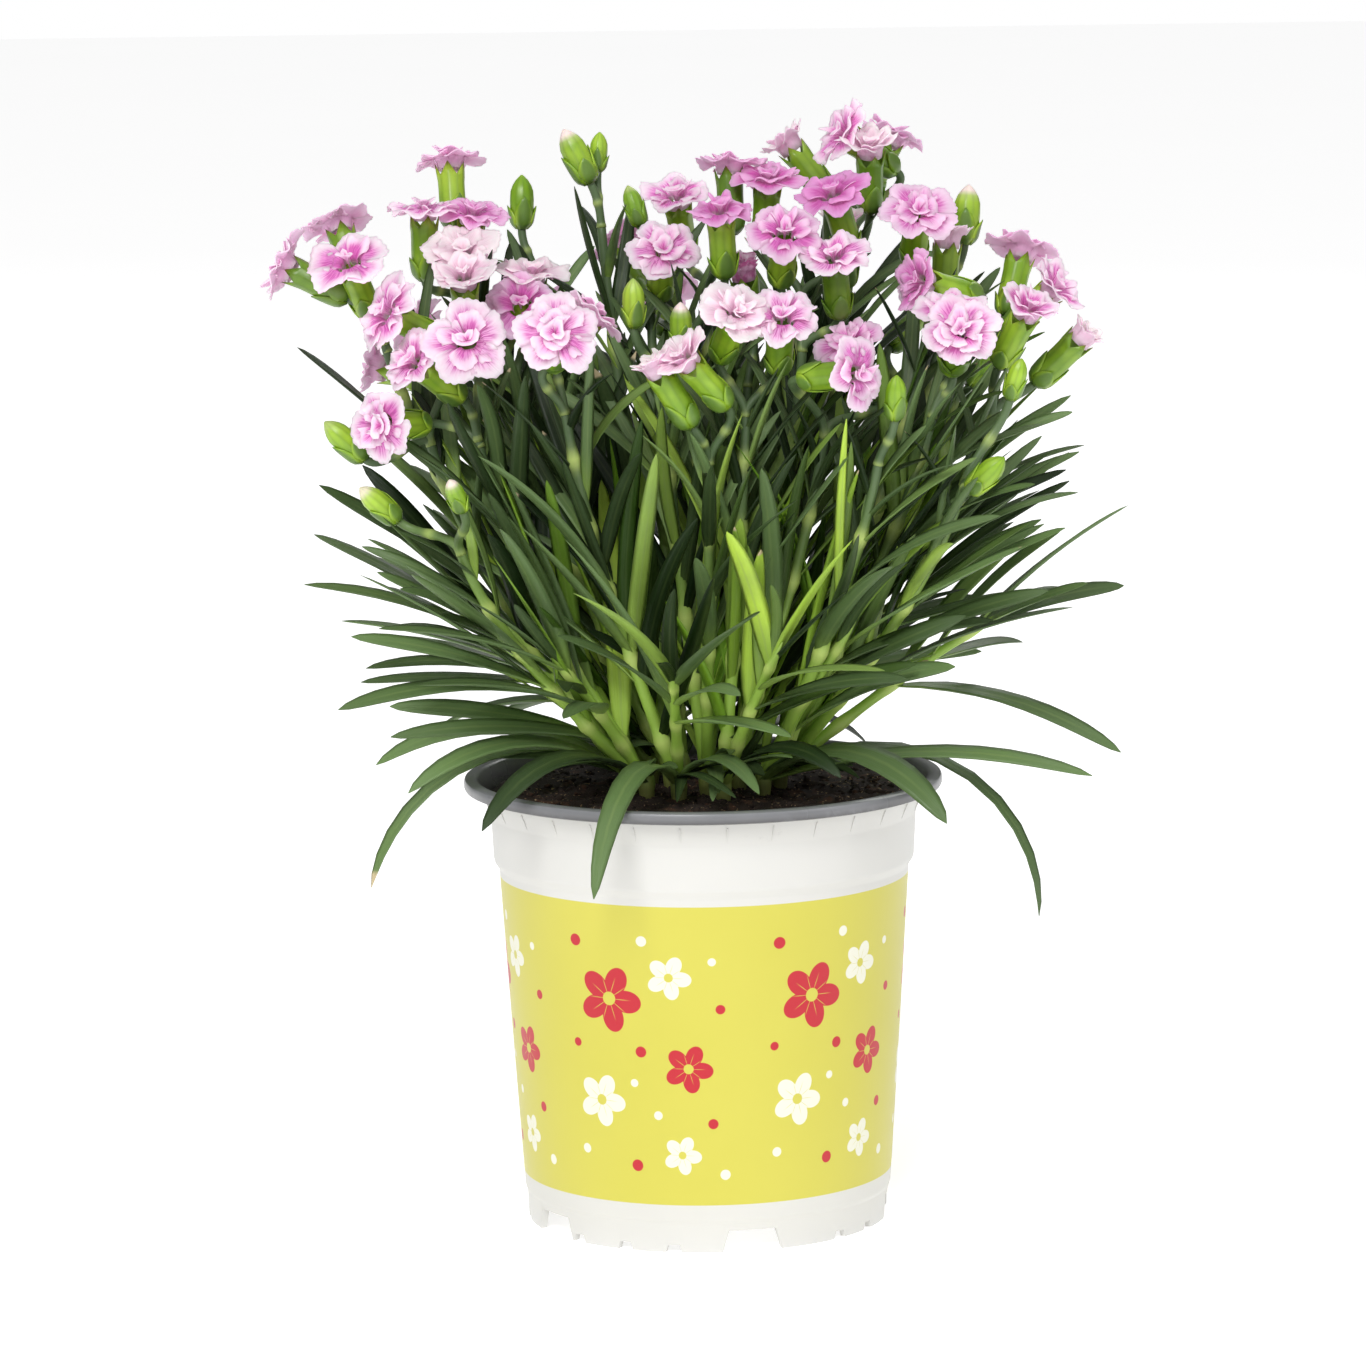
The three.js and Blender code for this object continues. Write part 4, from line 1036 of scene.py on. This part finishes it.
def leaf_colour(graph, place):
    along, across_it, tone, young = map(graph.attribute, ("along", "across", "tone", "young"))
    mottle = graph.noise(place, 60.0, 4.0)
    old = graph.mix(tone, linear(12, 32, 6), linear(112, 140, 84))
    fresh = graph.mix(tone, linear(92, 140, 24), linear(190, 224, 80))
    shade = graph.mix(young, old, fresh)
    light = tone * 0.8 + 0.2
    shade = graph.mix(mottle.rises(0.4, 0.75) * light * 0.3, shade, linear(104, 122, 92))
    base = (along * -1 + 0.3 + (tone - 0.5) * 0.3).rises(0, 0.36)
    shade = graph.mix(base * light * 0.75, shade, linear(148, 180, 74))
    rib = across_it.math("ABSOLUTE").rises(0.2, 0.02) * along.rises(0.95, 0.7)
    shade = graph.mix(rib * light * 0.3, shade, linear(140, 160, 96))
    rim = across_it.math("ABSOLUTE").rises(0.86, 1)
    shade = graph.mix(rim * light * 0.35, shade, linear(118, 142, 84))
    dry = graph.attribute("dry")
    burnt = (along + graph.noise(place, 260.0) * 0.03 - 1.0 + dry * 0.045).rises(0, 0.02)
    return graph.mix(burnt * dry.rises(0, 0.2), shade, linear(200, 184, 146))


def leaf_bump(graph, place):
    along, across_it = graph.attribute("along"), graph.attribute("across")
    stretched = graph.vector(across_it * 6, along * 2, graph.attribute("tone") * 50)
    return graph.noise(stretched, 2.0, 3.0)


leaf_green = finish("leaf green", leaf_colour, varied(90.0, 0.22, 0.27), leaf_bump, 0.0002, 0.5, {
    "Specular IOR Level": 0.3,
})

graph, given = new_tree("swept blades", [
    ("Sides", "Int"), ("Thickness", "Float"), ("Channel", "Float"), ("Material", "Material"),
])
strands = graph.node("GeometryNodeMeshToCurve", None, {"Mesh": given["Geometry"]})["Curve"]
level = graph.node("GeometryNodeSetCurveNormal", {"mode": "Z_UP"}, {"Curve": strands})["Curve"]
twist = graph.node("GeometryNodeInputNamedAttribute", None, {"Name": "twist"})["Attribute"]
tilted = graph.node("GeometryNodeSetCurveTilt", None, {"Curve": level, "Tilt": twist})["Curve"]
section = graph.node("GeometryNodeCurvePrimitiveCircle", None, {
    "Resolution": given["Sides"], "Radius": 1.0,
})["Curve"]
spot = graph.node("GeometryNodeInputPosition")["Position"]
axes = graph.node("ShaderNodeSeparateXYZ", None, {"Vector": spot})
dish = axes["Y"] * given["Thickness"] - axes["X"] * axes["X"] * given["Channel"]
keel = axes["Y"].math("MAXIMUM", 0) * (1 - axes["X"].math("ABSOLUTE")) * 0.12
blade = graph.node("GeometryNodeSetPosition", None, {
    "Geometry": section,
    "Position": graph.vector(axes["X"], dish + keel),
})["Geometry"]
marked = graph.node("GeometryNodeStoreNamedAttribute", None, {
    "Geometry": blade, "Name": "across", "Value": axes["X"],
})["Geometry"]
half = graph.node("GeometryNodeInputNamedAttribute", None, {"Name": "half"})["Attribute"]
swept = graph.node("GeometryNodeCurveToMesh", None, {
    "Curve": tilted, "Profile Curve": marked, "Scale": half, "Fill Caps": True,
})["Mesh"]
blade_tree = close_tree(graph, swept, given["Material"])

LEAF_STEPS = 12


def blade_widths(leaf, t):
    """Clasping at its base, the same breadth for most of its length, and a blunt point."""
    return leaf["width"] * np.minimum(0.42 + 3.2 * t, 1) * np.maximum(1 - t ** 4.5, 0) ** 0.6


def note(numbers, count, values):
    """Adds each named value for a count of points, to the numbers of its name."""
    for key, value in values.items():
        numbers.setdefault(key, []).extend(np.broadcast_to(value, count).reshape(-1))


odd = Draw(401)
for s, shoot in enumerate(shoots):
    points, edges = [], []
    numbers = {}
    for index, leaf in enumerate(shoot["leaves"]):
        extra = index >= shoot["solid"]
        start = leaf["start"]
        low = 1 - clamp((start[2] - CROWN_Z - 8) / 55)
        upright = clamp((leaf["elevation"] - 35) / 35)
        young = clamp((low * upright + odd.between(-0.6, 0.5) - 0.32) * 2.2)
        young *= start[2] > CROWN_Z + 1
        tone = odd.between(0, 1) ** 1.5
        tip = leaf_points(leaf, np.array([1.0]))[0]
        # Leaves reaching out low at the sides are paler and greyer: partly the leaves' glaucous bloom, partly
        # painted sheen.
        outer = clamp((abs(tip[0]) - 55) / 20) * clamp((190 - tip[2]) / 15)
        young, tone = young * (1 - 0.8 * outer), tone + 0.35 * outer * (1.2 - tone)
        # Painted shade: crown leaves of shoots at the sides and back are darkened.
        if leaf.get("dark"):
            young, tone = 0.3 * young, 0.3 * tone
        if leaf.get("fresh"):
            young, tone = max(young, 0.8), max(tone, 0.4)
        dry = max(odd.between(-16, 1), 0)
        sideways = math.cos(leaf["azimuth"] * DEG)
        twist = odd.between(-0.4, 0.5) + (0.95 * sideways if start[1] < 14 else 0.7 * odd.between(-1, 1))
        if extra:
            twist = odd.between(-0.6, 0.7) + 0.75 * sideways
        t = 1 - (1 - np.arange(LEAF_STEPS) / (LEAF_STEPS - 1)) ** 1.35 * 0.998
        slim = 1 - 0.35 * young * extra
        edges += [(len(points) + k, len(points) + k + 1) for k in range(LEAF_STEPS - 1)]
        points += list(leaf_points(leaf, t))
        note(numbers, LEAF_STEPS, {
            "half": np.maximum(blade_widths(leaf, t) * slim / 2, 0.12) * MM,
            "along": t, "tone": tone, "young": young, "dry": dry, "twist": twist * t,
        })
    lines = shape("leaf lines", points, [], numbers, edges)
    mesh = grown(f"leaves_{s + 1:02d}", lines, blade_tree, {
        "Sides": 6, "Thickness": 0.15, "Channel": 0.24, "Material": leaf_green,
    })
    mesh.shade_smooth()
    piece(mesh, None, f"shoot_{s + 1:02d}")

# ---- The stems ----
# Stiff smooth glaucous stems, thickened and paler at each joint, that fork below the flowers.
# Each is a round rod swept along its path, and its foot goes down into the soil.

STEM_FACETS = 12
# Each kind's steps, its joints and their spread, its radius and taper, how much the joints swell
# and pale, and the points past its end, by distance, radius and paleness.
RODS = {
    "main": (60, (0.13, 0.36, 0.54, 0.7, 0.88), 0.025, 1.6, 0.42, 0.42, 1, [(0.6, 0.9, 1)]),
    "side": (60, (0.28, 0.43, 0.6, 0.78), 0.025, 1.6, 0.42, 0.42, 1, [(0.6, 0.9, 1)]),
    "pedicel": (24, (0, 0.55), 0.07, 1.08, 0, 0.25, 0.6, [(1.2, 1.3, 0)]),
    "tuft": (30, (0.3, 0.56, 0.95), 0.05, 1.5, 0.4, 0.3, 1, [(1.5, 1, 0.1), (4, 0.7, 0.1), (7.5, 0.15, 0.1)]),
}
SIDE_START = 1.2
# The foot in the soil, by height over the crown, radius and paleness, and the knob round it.
FOOT = [(-16, 1.8, 0), (-8, 1.7, 0), (-2, 1.6, 0.3)]
KNOB = [(-7, 1.6), (-4, 1.8), (-1.5, 2.1), (0, 2.2), (1.6, 2), (3, 1.5), (3.8, 0.7)]


def stem_colour(graph, place):
    axes = graph.node("ShaderNodeSeparateXYZ", None, {"Vector": place})
    low = axes["Z"].rises(0.195, 0.13)
    joint = graph.attribute("joint")
    body = graph.mix(graph.noise(place, 80.0), linear(64, 88, 54), linear(96, 118, 76))
    body = graph.mix(low * 0.92, body, linear(158, 196, 76))
    body = graph.mix(joint * 0.8, body, linear(196, 216, 118))
    soiled = (axes["Z"] + graph.noise(place, 120.0, 3.0) * 0.008).rises(0.124, 0.112)
    return graph.mix(soiled * 0.85, body, linear(92, 84, 48))


def stem_bump(graph, place):
    return graph.noise(place, 500.0, 2.0)


stem_green = finish("stem green", stem_colour, varied(120.0, 0.15, 0.4), stem_bump, 0.0001, 0.4)


def rods(name, paths):
    """Round rods along rows of (point, radius, joint), as one mesh."""
    sides = STEM_FACETS
    points, faces, joints = [], [], []
    for path in paths:
        spine = np.array([row[0] for row in path])
        ahead = np.gradient(spine, axis=0)
        hint = vec(1, 0.3, 0.1)
        for k, (centre, radius, joint) in enumerate(path):
            square = across(unit(ahead[k]), hint)
            hint = square[0]
            base = len(points)
            for i, angle in enumerate(round_angles(sides)):
                points.append(centre + radius * spoke(square, angle))
                joints.append(joint)
                if k:
                    j = (i + 1) % sides
                    faces.append((base - sides + i, base - sides + j, base + j, base + i))
        faces.append(tuple(range(len(points) - sides, len(points))))
        start = len(points) - sides * len(path)
        faces.append(tuple(range(start + sides - 1, start - 1, -1)))
    return shape(name, points, faces, {"joint": joints})


def rod_rows(curve, kind):
    """A curve as rows of (point, radius, joint), thicker and paler at its joints."""
    steps, joints, spread, radius, taper, swelling, pale, tip = RODS[kind]
    rows = []
    for k in range(steps + 1):
        t = k / steps
        bump = max(math.exp(-((t - joint) / spread) ** 2) for joint in joints)
        rows.append((curve.at(t), (radius - taper * t) * (1 + swelling * bump), bump * pale))
    return rows + [(curve.at(1) + curve.along(1) * past, end, joint) for past, end, joint in tip]


for s, shoot in enumerate(shoots):
    foot = vec(*shoot["foot"], CROWN_Z)
    paths = []
    for i, stem in enumerate(shoot["stems"]):
        rows = rod_rows(stem, "side" if i else "main")
        if i:
            rows[0] = (stem.at(0), SIDE_START, rows[0][2])
        else:
            rows = [(foot + UP * height, radius, joint) for height, radius, joint in FOOT] + rows
        paths.append(rows)
    paths += [rod_rows(pedicel, "pedicel") for _, pedicel in shoot["pedicels"]]
    paths += [rod_rows(tuft, "tuft") for tuft in shoot["tufts"]]
    paths.append([(foot + UP * height, radius, 0.3) for height, radius in KNOB])
    piece(rods(f"stems_{s + 1:02d}", paths), stem_green, f"shoot_{s + 1:02d}")

# ---- The calyxes and buds ----
# Each flower stands in a ribbed green tube that opens in five pointed teeth, with two pairs of
# bracts pressed to its foot. A bud is the same tube closed round the tips of its petals.

# Each tube's heights below its mouth and radii, and how pale the tips of the paler buds are.
TUBE = [(-14, 1.25), (-13.7, 1.9), (-13.1, 2.6), (-12.2, 3.02), (-11, 3.2), (-9, 3.3), (-6.5, 3.32),
        (-4, 3.3), (-2, 3.35), (-0.7, 3.5)]
BUD_TUBE = [(-14, 1.25), (-13.7, 1.9), (-13.1, 2.5), (-12.2, 2.85), (-11, 3.0), (-9, 3.14),
            (-6.5, 3.2), (-4.2, 3.05), (-2.6, 2.5), (-1.2, 1.65), (-0.3, 0.8), (0.2, 0.25)]
PALE_BUDS = {61: 0.9, 68: 0.8, 69: 0.9, 67: 0.6, 73: 0.95, 64: 0.2, 65: 0.1, 66: 0.15}


def calyx_colour(graph, place):
    along, ribs, tip, bract, tone = map(graph.attribute, ("along", "ribs", "tip", "bract", "tone"))
    cloud = graph.noise(place, 90.0, 3.0).rises(0.3, 0.7)
    dull = graph.mix(cloud, linear(74, 110, 20), linear(118, 154, 34))
    bright = graph.mix(cloud, linear(126, 170, 24), linear(180, 214, 64))
    body = graph.mix(tone, dull, bright)
    leafy = graph.mix(graph.noise(place, 160.0, 3.0), linear(66, 96, 38), linear(116, 152, 56))
    body = graph.mix(bract * ribs.rises(0.05, 0.6), body, leafy)
    body = graph.mix(along.rises(0.5, 0.1) * 0.5, body, linear(66, 94, 36))
    body = graph.mix(ribs * (1 - bract) * 0.35, body, linear(78, 108, 32))
    reddish = (along - 1.0).rises(0.1, 0.22) * 0.5
    body = graph.mix(reddish, body, linear(128, 84, 60))
    return graph.mix(tip, body, linear(246, 222, 222))


def calyx_bump(graph, place):
    return graph.attribute("ribs") + graph.noise(place, 400.0) * 0.3


calyx_green = finish("calyx green", calyx_colour, varied(150.0, 0.15, 0.28), calyx_bump, 0.00012, 0.5, {
    "Subsurface Weight": 0.15, "Subsurface Scale": 0.002, "Subsurface Radius": (0.6, 1, 0.3),
})


def shell(grid, thickness, points, faces, numbers, values):
    """Adds a grid of points as a thin closed shell, with a value of each name at every point."""
    rows, columns, _ = grid.shape
    normal = np.cross(np.gradient(grid, axis=0), np.gradient(grid, axis=1))
    normal /= np.maximum(np.linalg.norm(normal, axis=2, keepdims=True), 1e-9)
    start = len(points)
    count = rows * columns
    for under, offset in ((0, 0.5), (1, -0.5)):
        points += list((grid + normal * thickness * offset).reshape(-1, 3))
        note(numbers, (rows, columns), values)
        if "under" in numbers:
            note(numbers, count, {"under": under})
    for i in range(rows - 1):
        for j in range(columns - 1):
            a = start + i * columns + j
            faces.append((a, a + columns, a + columns + 1, a + 1))
            faces.append((a + count, a + count + 1, a + count + columns + 1, a + count + columns))
    rim = [(0, j) for j in range(columns - 1)] + [(i, columns - 1) for i in range(rows - 1)]
    rim += [(rows - 1, j) for j in range(columns - 1, 0, -1)] + [(i, 0) for i in range(rows - 1, 0, -1)]
    for (i, j), (k, m) in zip(rim, rim[1:] + rim[:1]):
        a, b = start + i * columns + j, start + k * columns + m
        faces.append((a, b, b + count, a + count))


BRACT_ROWS = 8
BRACT_COLUMNS = 7
BRACT_THICKNESS = 0.22
# A bract's turn round the tube, its length and how far it stands off: a short pair and a long one.
BRACTS = [(k * math.pi / 2 + 0.4, 6.2 + 2.4 * (k % 2), 0.45 - 0.25 * (k % 2)) for k in range(4)]
TEETH = 5
TUBE_SIDES = 30
RIBS = 10


def bract_grid(head, section, turn, reach, flare):
    """A scale pressed to the tube's foot, broad below and drawn out to a point."""
    square = across(head["axis"], head["side"])
    heights, radii = zip(*section)
    grid = np.zeros((BRACT_ROWS, BRACT_COLUMNS, 3))
    for i in range(BRACT_ROWS):
        s = i / (BRACT_ROWS - 1)
        height = -14.3 + reach * s
        half = 1.15 * (1 - s) ** 0.6 * (0.55 + 1.3 * s * (1 - s) + 0.3 * s) + 0.02
        for j in range(BRACT_COLUMNS):
            u = j / (BRACT_COLUMNS - 1) * 2 - 1
            radius = np.interp(height, heights, radii) + 0.22 + flare * s ** 3 + 0.12 * (1 - u * u)
            out = radius * spoke(square, turn + half * u)
            grid[i, j] = head["mouth"] + head["size"] * (head["axis"] * height + out)
    return grid


hues = Draw(808)


def mouth_rings():
    """The open end of a tube: out to the teeth, over them and back inside, as height, radius, along."""
    teeth = [abs(((k * TEETH / TUBE_SIDES) % 1) - 0.5) * 2 for k in range(TUBE_SIDES)]
    return [
        [(-0.6 + 3.4 * t ** 1.15, 3.52 + 0.45 * t ** 2, 1 + 0.24 * t ** 1.5) for t in teeth],
        [(-0.7 + 3.2 * t ** 1.15, 3.2 + 0.5 * t ** 2, 1 + 0.2 * t ** 1.5) for t in teeth],
        [(-2.4, 3.0, 0.9)] * TUBE_SIDES,
        [(-3.9, 1.2, 0.8)] * TUBE_SIDES,
    ]


def tube_mesh(name, rows):
    """Calyx tubes as closed shells, each from its head's axis, side and section."""
    points, faces = [], []
    numbers = {}
    columns = TUBE_SIDES
    centre = 1 - np.abs(np.linspace(-1, 1, BRACT_COLUMNS))[None, :]
    upward = np.linspace(0, 1, BRACT_ROWS)[:, None]
    for head, section, closed, pale in rows:
        square = across(head["axis"], head["side"])
        size = head["size"]
        tone = 0.8 if closed else hues.between(0, 1)
        rings = [[(height, radius, 1 + height / CALYX_LENGTH)] * columns for height, radius in section]
        rings += [[(0.2, 0.02, 1.02)] * columns] if closed else mouth_rings()
        start = len(points)
        for r, ring in enumerate(rings):
            for k, (height, radius, along) in enumerate(ring):
                angle = 2 * math.pi * k / columns
                rib = 0.5 + 0.5 * math.cos(angle * RIBS)
                bulge = 1 + 0.018 * rib * (0.2 < along < 1)
                where = head["mouth"] + head["axis"] * height * size
                points.append(where + radius * bulge * size * spoke(square, angle))
                tip = pale * clamp((along - 0.8) / 0.1) if closed else 0
                note(numbers, 1, {"along": along, "ribs": rib, "tip": tip, "bract": 0, "tone": tone})
                if r:
                    j = (k + 1) % columns
                    low = start + (r - 1) * columns
                    faces.append((low + k, low + j, low + columns + j, low + columns + k))
        faces.append(tuple(range(start + columns - 1, start - 1, -1)))
        faces.append(tuple(range(len(points) - columns, len(points))))
        for bract in BRACTS:
            grid = bract_grid(head, section, *bract)
            values = {"along": 0.3 + 0.7 * upward, "ribs": centre, "tip": 0, "bract": 1, "tone": tone}
            shell(grid[:, ::-1], BRACT_THICKNESS * size, points, faces, numbers, values)
    return shape(name, points, faces, numbers)


for s, (_, stems, _, _) in enumerate(SHOOTS):
    rows = []
    for number in sum(stems, []):
        head = heads[number]
        rows.append((head, BUD_TUBE if head["bud"] else TUBE, head["bud"], PALE_BUDS.get(number, 0)))
    piece(tube_mesh(f"calyxes_{s + 1:02d}", rows), calyx_green, f"shoot_{s + 1:02d}")

# ---- The petals ----
# Five broad outer petals with scalloped, ruffled edges, one to three rings of smaller crumpled
# ones inside them, and a small heart. Each is a thin shell, pale pink at the edge and pink within,
# with magenta streaks fanning from the throat.

# By flower: how creamy, how deeply coloured, how many rings if not two, and which one is withered.
CREAM = {8: 0.75, 9: 0.6, 10: 0.6, 30: 1, 33: 0.7, 37: 0.8, 41: 1, 42: 0.6, 49: 1, 31: 0.7, 48: 0.6}
DEEP = {1: 0.4, 3: 0.3, 6: 0.7, 11: 0.5, 20: 0.7, 23: 0.9, 24: 0.6, 25: 0.8, 26: 0.4, 28: 1, 34: 0.6,
        35: 0.4, 36: 0.8, 38: 0.7, 44: 0.4, 45: 0.2, 51: 0.6, 52: 0.6}
FULL = {13: 4, 16: 3, 21: 3, 35: 3, 42: 3, 44: 3, 47: 3, 51: 3, 52: 3}
WITHERED = (27,)
PETAL_THICKNESS = 0.22
# A ring's petals, the columns and rows of each, its length as a share of the flower's radius, its
# tilt past the flower's own, its breadth and curl, where it starts, and how much it strays.
RINGS = [
    (5, 25, 9, 1.0, 0, 0.7, 0.16, 3.0, 0.15), (4, 17, 7, 0.76, 0.34, 0.66, 0.3, 2.0, 0.34),
    (3, 11, 7, 0.58, 0.66, 0.9, 0.42, 1.2, 0.42), (3, 9, 6, 0.44, 0.95, 1.0, 0.5, 0.5, 0.4),
]
HEART = (2, 9, 6, 0.26, 1.15, 2.1, 0.3, 0.1, 0.3)
HEART_GROWTH = 0.04
STEEPEST = 1.45
EDGE_ALLOWANCE = 0.3


def petal_colour(graph, place):
    u, v, tone, cream = map(graph.attribute, ("u", "v", "tone", "cream"))
    deep, under, old = map(graph.attribute, ("deep", "under", "old"))
    rough = graph.noise(place, 300.0, 3.0)
    edge = graph.mix(rough, linear(251, 204, 235), linear(255, 228, 245))
    edge = graph.mix(deep, edge, linear(230, 138, 204))
    heart = graph.mix(tone, linear(226, 92, 184), linear(250, 166, 224))
    heart = graph.mix(deep * 0.8, heart, linear(198, 60, 158))
    reach = v + (rough - 0.5) * 0.25 + u.math("ABSOLUTE") ** 2 * 0.28
    shade = graph.mix(reach.rises(0.38, 1.0), heart, edge)
    lanes = graph.vector(u * 7 + tone * 23, v * 0.9, tone * 40)
    streak = graph.noise(lanes, 1.6, 3.0, 0.6).rises(0.44, 0.58)
    fan = reach.rises(0.84, 0.4) * v.rises(0.02, 0.16)
    shade = graph.mix(streak * fan * 0.9, shade, linear(196, 46, 152))
    shade = graph.mix(v.rises(0.12, 0.0), shade, linear(250, 224, 222))
    shade = graph.mix(cream * 0.85, shade, linear(255, 236, 236))
    shade = graph.mix(under * 0.75, shade, linear(244, 180, 222))
    return graph.mix(old * rough.rises(0.3, 0.6), shade, linear(176, 44, 120))


def petal_bump(graph, place):
    u, v = graph.attribute("u"), graph.attribute("v")
    lanes = graph.vector(u * 9, v * 1.4, graph.attribute("tone") * 30)
    return graph.noise(lanes, 2.4, 2.0)


# The petals glow faintly pink: painted light, standing in for light shining through the thin petals.
petal_pink = finish("petal pink", petal_colour, varied(200.0, 0.15, 0.5), petal_bump, 0.00025, 0.4, {
    "Subsurface Weight": 0.6, "Subsurface Scale": 0.003, "Subsurface Radius": (1, 0.6, 0.8),
    "Emission Color": (1, 0.6, 0.87, 1), "Emission Strength": 0.05,
})


def petal_grid(flower, chance, columns, rows, turn, scale, tilt, width, curl, base):
    """One petal's upper face: a claw in the throat, then a limb that bends outward and ruffles."""
    square = across(flower["axis"], flower["side"])
    length = flower["radius"] * scale - base + EDGE_ALLOWANCE
    teeth = chance.between(13, 17) * (0.55 + 0.45 * scale)
    phase = chance.between(0, 6.3)
    ruffle = chance.between(0.5, 1.2) * (1.3 - 0.4 * scale)
    folds = chance.between(3.6, 6.4)
    cup = chance.between(-0.5, 1.6) * (1.8 - scale)
    skew = chance.between(-0.14, 0.14)
    grid = np.zeros((rows, columns, 3))
    for j in range(columns):
        u = j / (columns - 1) * 2 - 1
        lobe = 1 - 0.3 * abs(u) ** 2.6 + skew * u
        tooth = 0.07 * abs(math.sin(teeth * math.pi * (u + 1) / 4 + phase))
        tooth += 0.045 * math.sin(u * 5 + phase * 3)
        limb = length * (lobe + tooth - 0.05)
        for i in range(rows):
            v = i / (rows - 1)
            claw = clamp(v / 0.22)
            lean = (math.pi / 2 - tilt) * clamp((v - 0.05) / 0.3) + curl * v * v
            rise = limb * v * math.cos(lean * 0.93) * (0.55 if tilt < 0.3 else 0.9)
            out = limb * v * math.sin(lean * 0.93)
            wave = ruffle * math.sin(u * folds + phase) * v ** 1.6 + cup * u * u * v
            angle = turn + width * (0.95 + 0.05 * claw) * u
            where = flower["mouth"] + flower["axis"] * (1.2 + 2.6 * claw + rise + wave * math.sin(lean))
            radius = base + out + wave * math.cos(lean)
            grid[i, j] = where + radius * spoke(square, angle)
    return grid


def flower_petals(number, points, faces, numbers):
    """Adds one flower's rings of petals and its heart, from its own random draws."""
    flower = flowers[number]
    chance = Draw(1000 + number * 37)
    lift = (1 - flower["open"]) * CLOSED_LIFT * DEG
    old = number in WITHERED
    turn = chance.between(0, 1.2)
    share = chance.between(0, 0.5)
    full = FULL.get(number, 2)
    heart = (*HEART[:3], HEART[3] + HEART_GROWTH * full, *HEART[4:])
    for count, columns, rows, scale, tilt, width, curl, base, stray in [*RINGS[:full], heart]:
        turn += chance.between(0.4, 0.9)
        count -= chance.between(0, 1) < 0.4 and count in (3, 4)
        for k in range(count):
            place = turn + 2 * math.pi * k / count + chance.between(-stray, stray) * 0.8
            if old:
                scale = chance.between(0.5, 0.85)
                curl = chance.between(-1.2, 0.6)
            reach = scale * chance.between(0.88, 1.06)
            lean = min(lift + tilt + chance.between(-stray, stray), STEEPEST)
            grid = petal_grid(flower, chance, columns, rows, place, reach, lean, width, curl, base)
            shell(grid, PETAL_THICKNESS, points, faces, numbers, {
                "u": np.linspace(-1, 1, columns)[None, :],
                "v": np.linspace(0, 1, rows)[:, None],
                "tone": share + chance.between(0, 0.5),
                "cream": CREAM.get(number, 0),
                "deep": DEEP.get(number, 0),
                "old": old and k > 0,
            })


blooms = [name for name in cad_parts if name.startswith("bloom_")]
for name in sorted(blooms):
    points, faces = [], []
    numbers = {"under": []}
    for number in map(int, name.split("_")[1:]):
        flower_petals(number, points, faces, numbers)
    piece(shape(name.replace("bloom", "petals"), points, faces, numbers), petal_pink, name)

# ---- The floor, the light and the camera ----
# A plain pale floor in a white studio, with soft light from all round, brightest from the front
# and above. The camera stands a little higher than the flowers and looks slightly down.

FLOOR = 6000
LIGHT_TARGET = (0, 0, 0.16)
CAMERA_PLACE = (0, -1.5882, 0.3773)
CAMERA_YAW = -0.169
CAMERA_PITCH = 8.66
CAMERA_ROLL = -0.77
CAMERA_LENS = 168.96
CAMERA_SENSOR = 36

floor_corners = [(-FLOOR, -FLOOR, 0), (FLOOR, -FLOOR, 0), (FLOOR, FLOOR, 0), (-FLOOR, FLOOR, 0)]
floor_mesh = shape("floor", floor_corners, [(0, 1, 2, 3)])


def floor_colour(graph, place):
    return graph.mix(graph.noise(place, 3.0), (0.96, 0.96, 0.96), (0.98, 0.98, 0.98))


floor_mesh.materials.append(finish("pale floor", floor_colour, varied(8.0, 0.1, 0.8), fixed={
    "Emission Color": (1, 1, 1, 1), "Emission Strength": 0.5, "Specular IOR Level": 0.1,
}))
floor = bpy.data.objects.new("floor", floor_mesh)
bpy.context.scene.collection.objects.link(floor)

world = bpy.data.worlds.new("white studio")
world.use_nodes = True
world.node_tree.nodes.clear()
graph = Graph(world.node_tree)
toward = graph.node("ShaderNodeTexCoord")["Generated"]
frontal = graph.node("ShaderNodeVectorMath", {"operation": "DOT_PRODUCT"}, {0: toward, 1: (0, -0.6, 0.8)})
glow = frontal["Value"].rises(-0.4, 0.95) * 0.5 + 0.11
seen = graph.node("ShaderNodeLightPath")["Is Camera Ray"]
strength = glow * (1 - seen) + seen
sky = graph.node("ShaderNodeBackground", None, {"Color": (1, 1, 1, 1), "Strength": strength})["Background"]
graph.node("ShaderNodeOutputWorld", None, {"Surface": sky})
bpy.context.scene.world = world
bpy.context.scene.view_settings.view_transform = "Standard"


def stand(name, data, right, up, away, place):
    """Sets up a lamp or the camera at a place, with its three directions."""
    thing = bpy.data.objects.new(name, data)
    thing.matrix_world = Matrix([*np.column_stack((right, up, away, place)).tolist(), (0, 0, 0, 1)])
    bpy.context.scene.collection.objects.link(thing)
    return thing


def softbox(name, place, size, power):
    light = bpy.data.lights.new(name, "AREA")
    light.shape = "RECTANGLE"
    light.size, light.size_y = size
    light.energy = power
    away = unit(vec(*place) - vec(*LIGHT_TARGET))
    right = unit(np.cross(UP, away))
    stand(name, light, right, np.cross(away, right), away, place)


softbox("front softbox", (-0.45, -1.7, 1.55), (0.9, 0.9), 31)
softbox("side softbox", (1.5, -0.9, 1.0), (0.7, 0.9), 3)
softbox("back softbox", (0.5, 1.7, 1.4), (0.9, 0.9), 7)

camera_data = bpy.data.cameras.new("camera")
camera_data.sensor_width = CAMERA_SENSOR
camera_data.lens = CAMERA_LENS
forward = heading(90 - CAMERA_YAW, -CAMERA_PITCH)
level_right = unit(np.cross(forward, UP))
level_up = np.cross(level_right, forward)
cos_roll, sin_roll = math.cos(CAMERA_ROLL * DEG), math.sin(CAMERA_ROLL * DEG)
right = level_right * cos_roll + level_up * sin_roll
upward = level_up * cos_roll - level_right * sin_roll
camera = stand("camera", camera_data, right, upward, -forward, CAMERA_PLACE)
bpy.context.scene.camera = camera
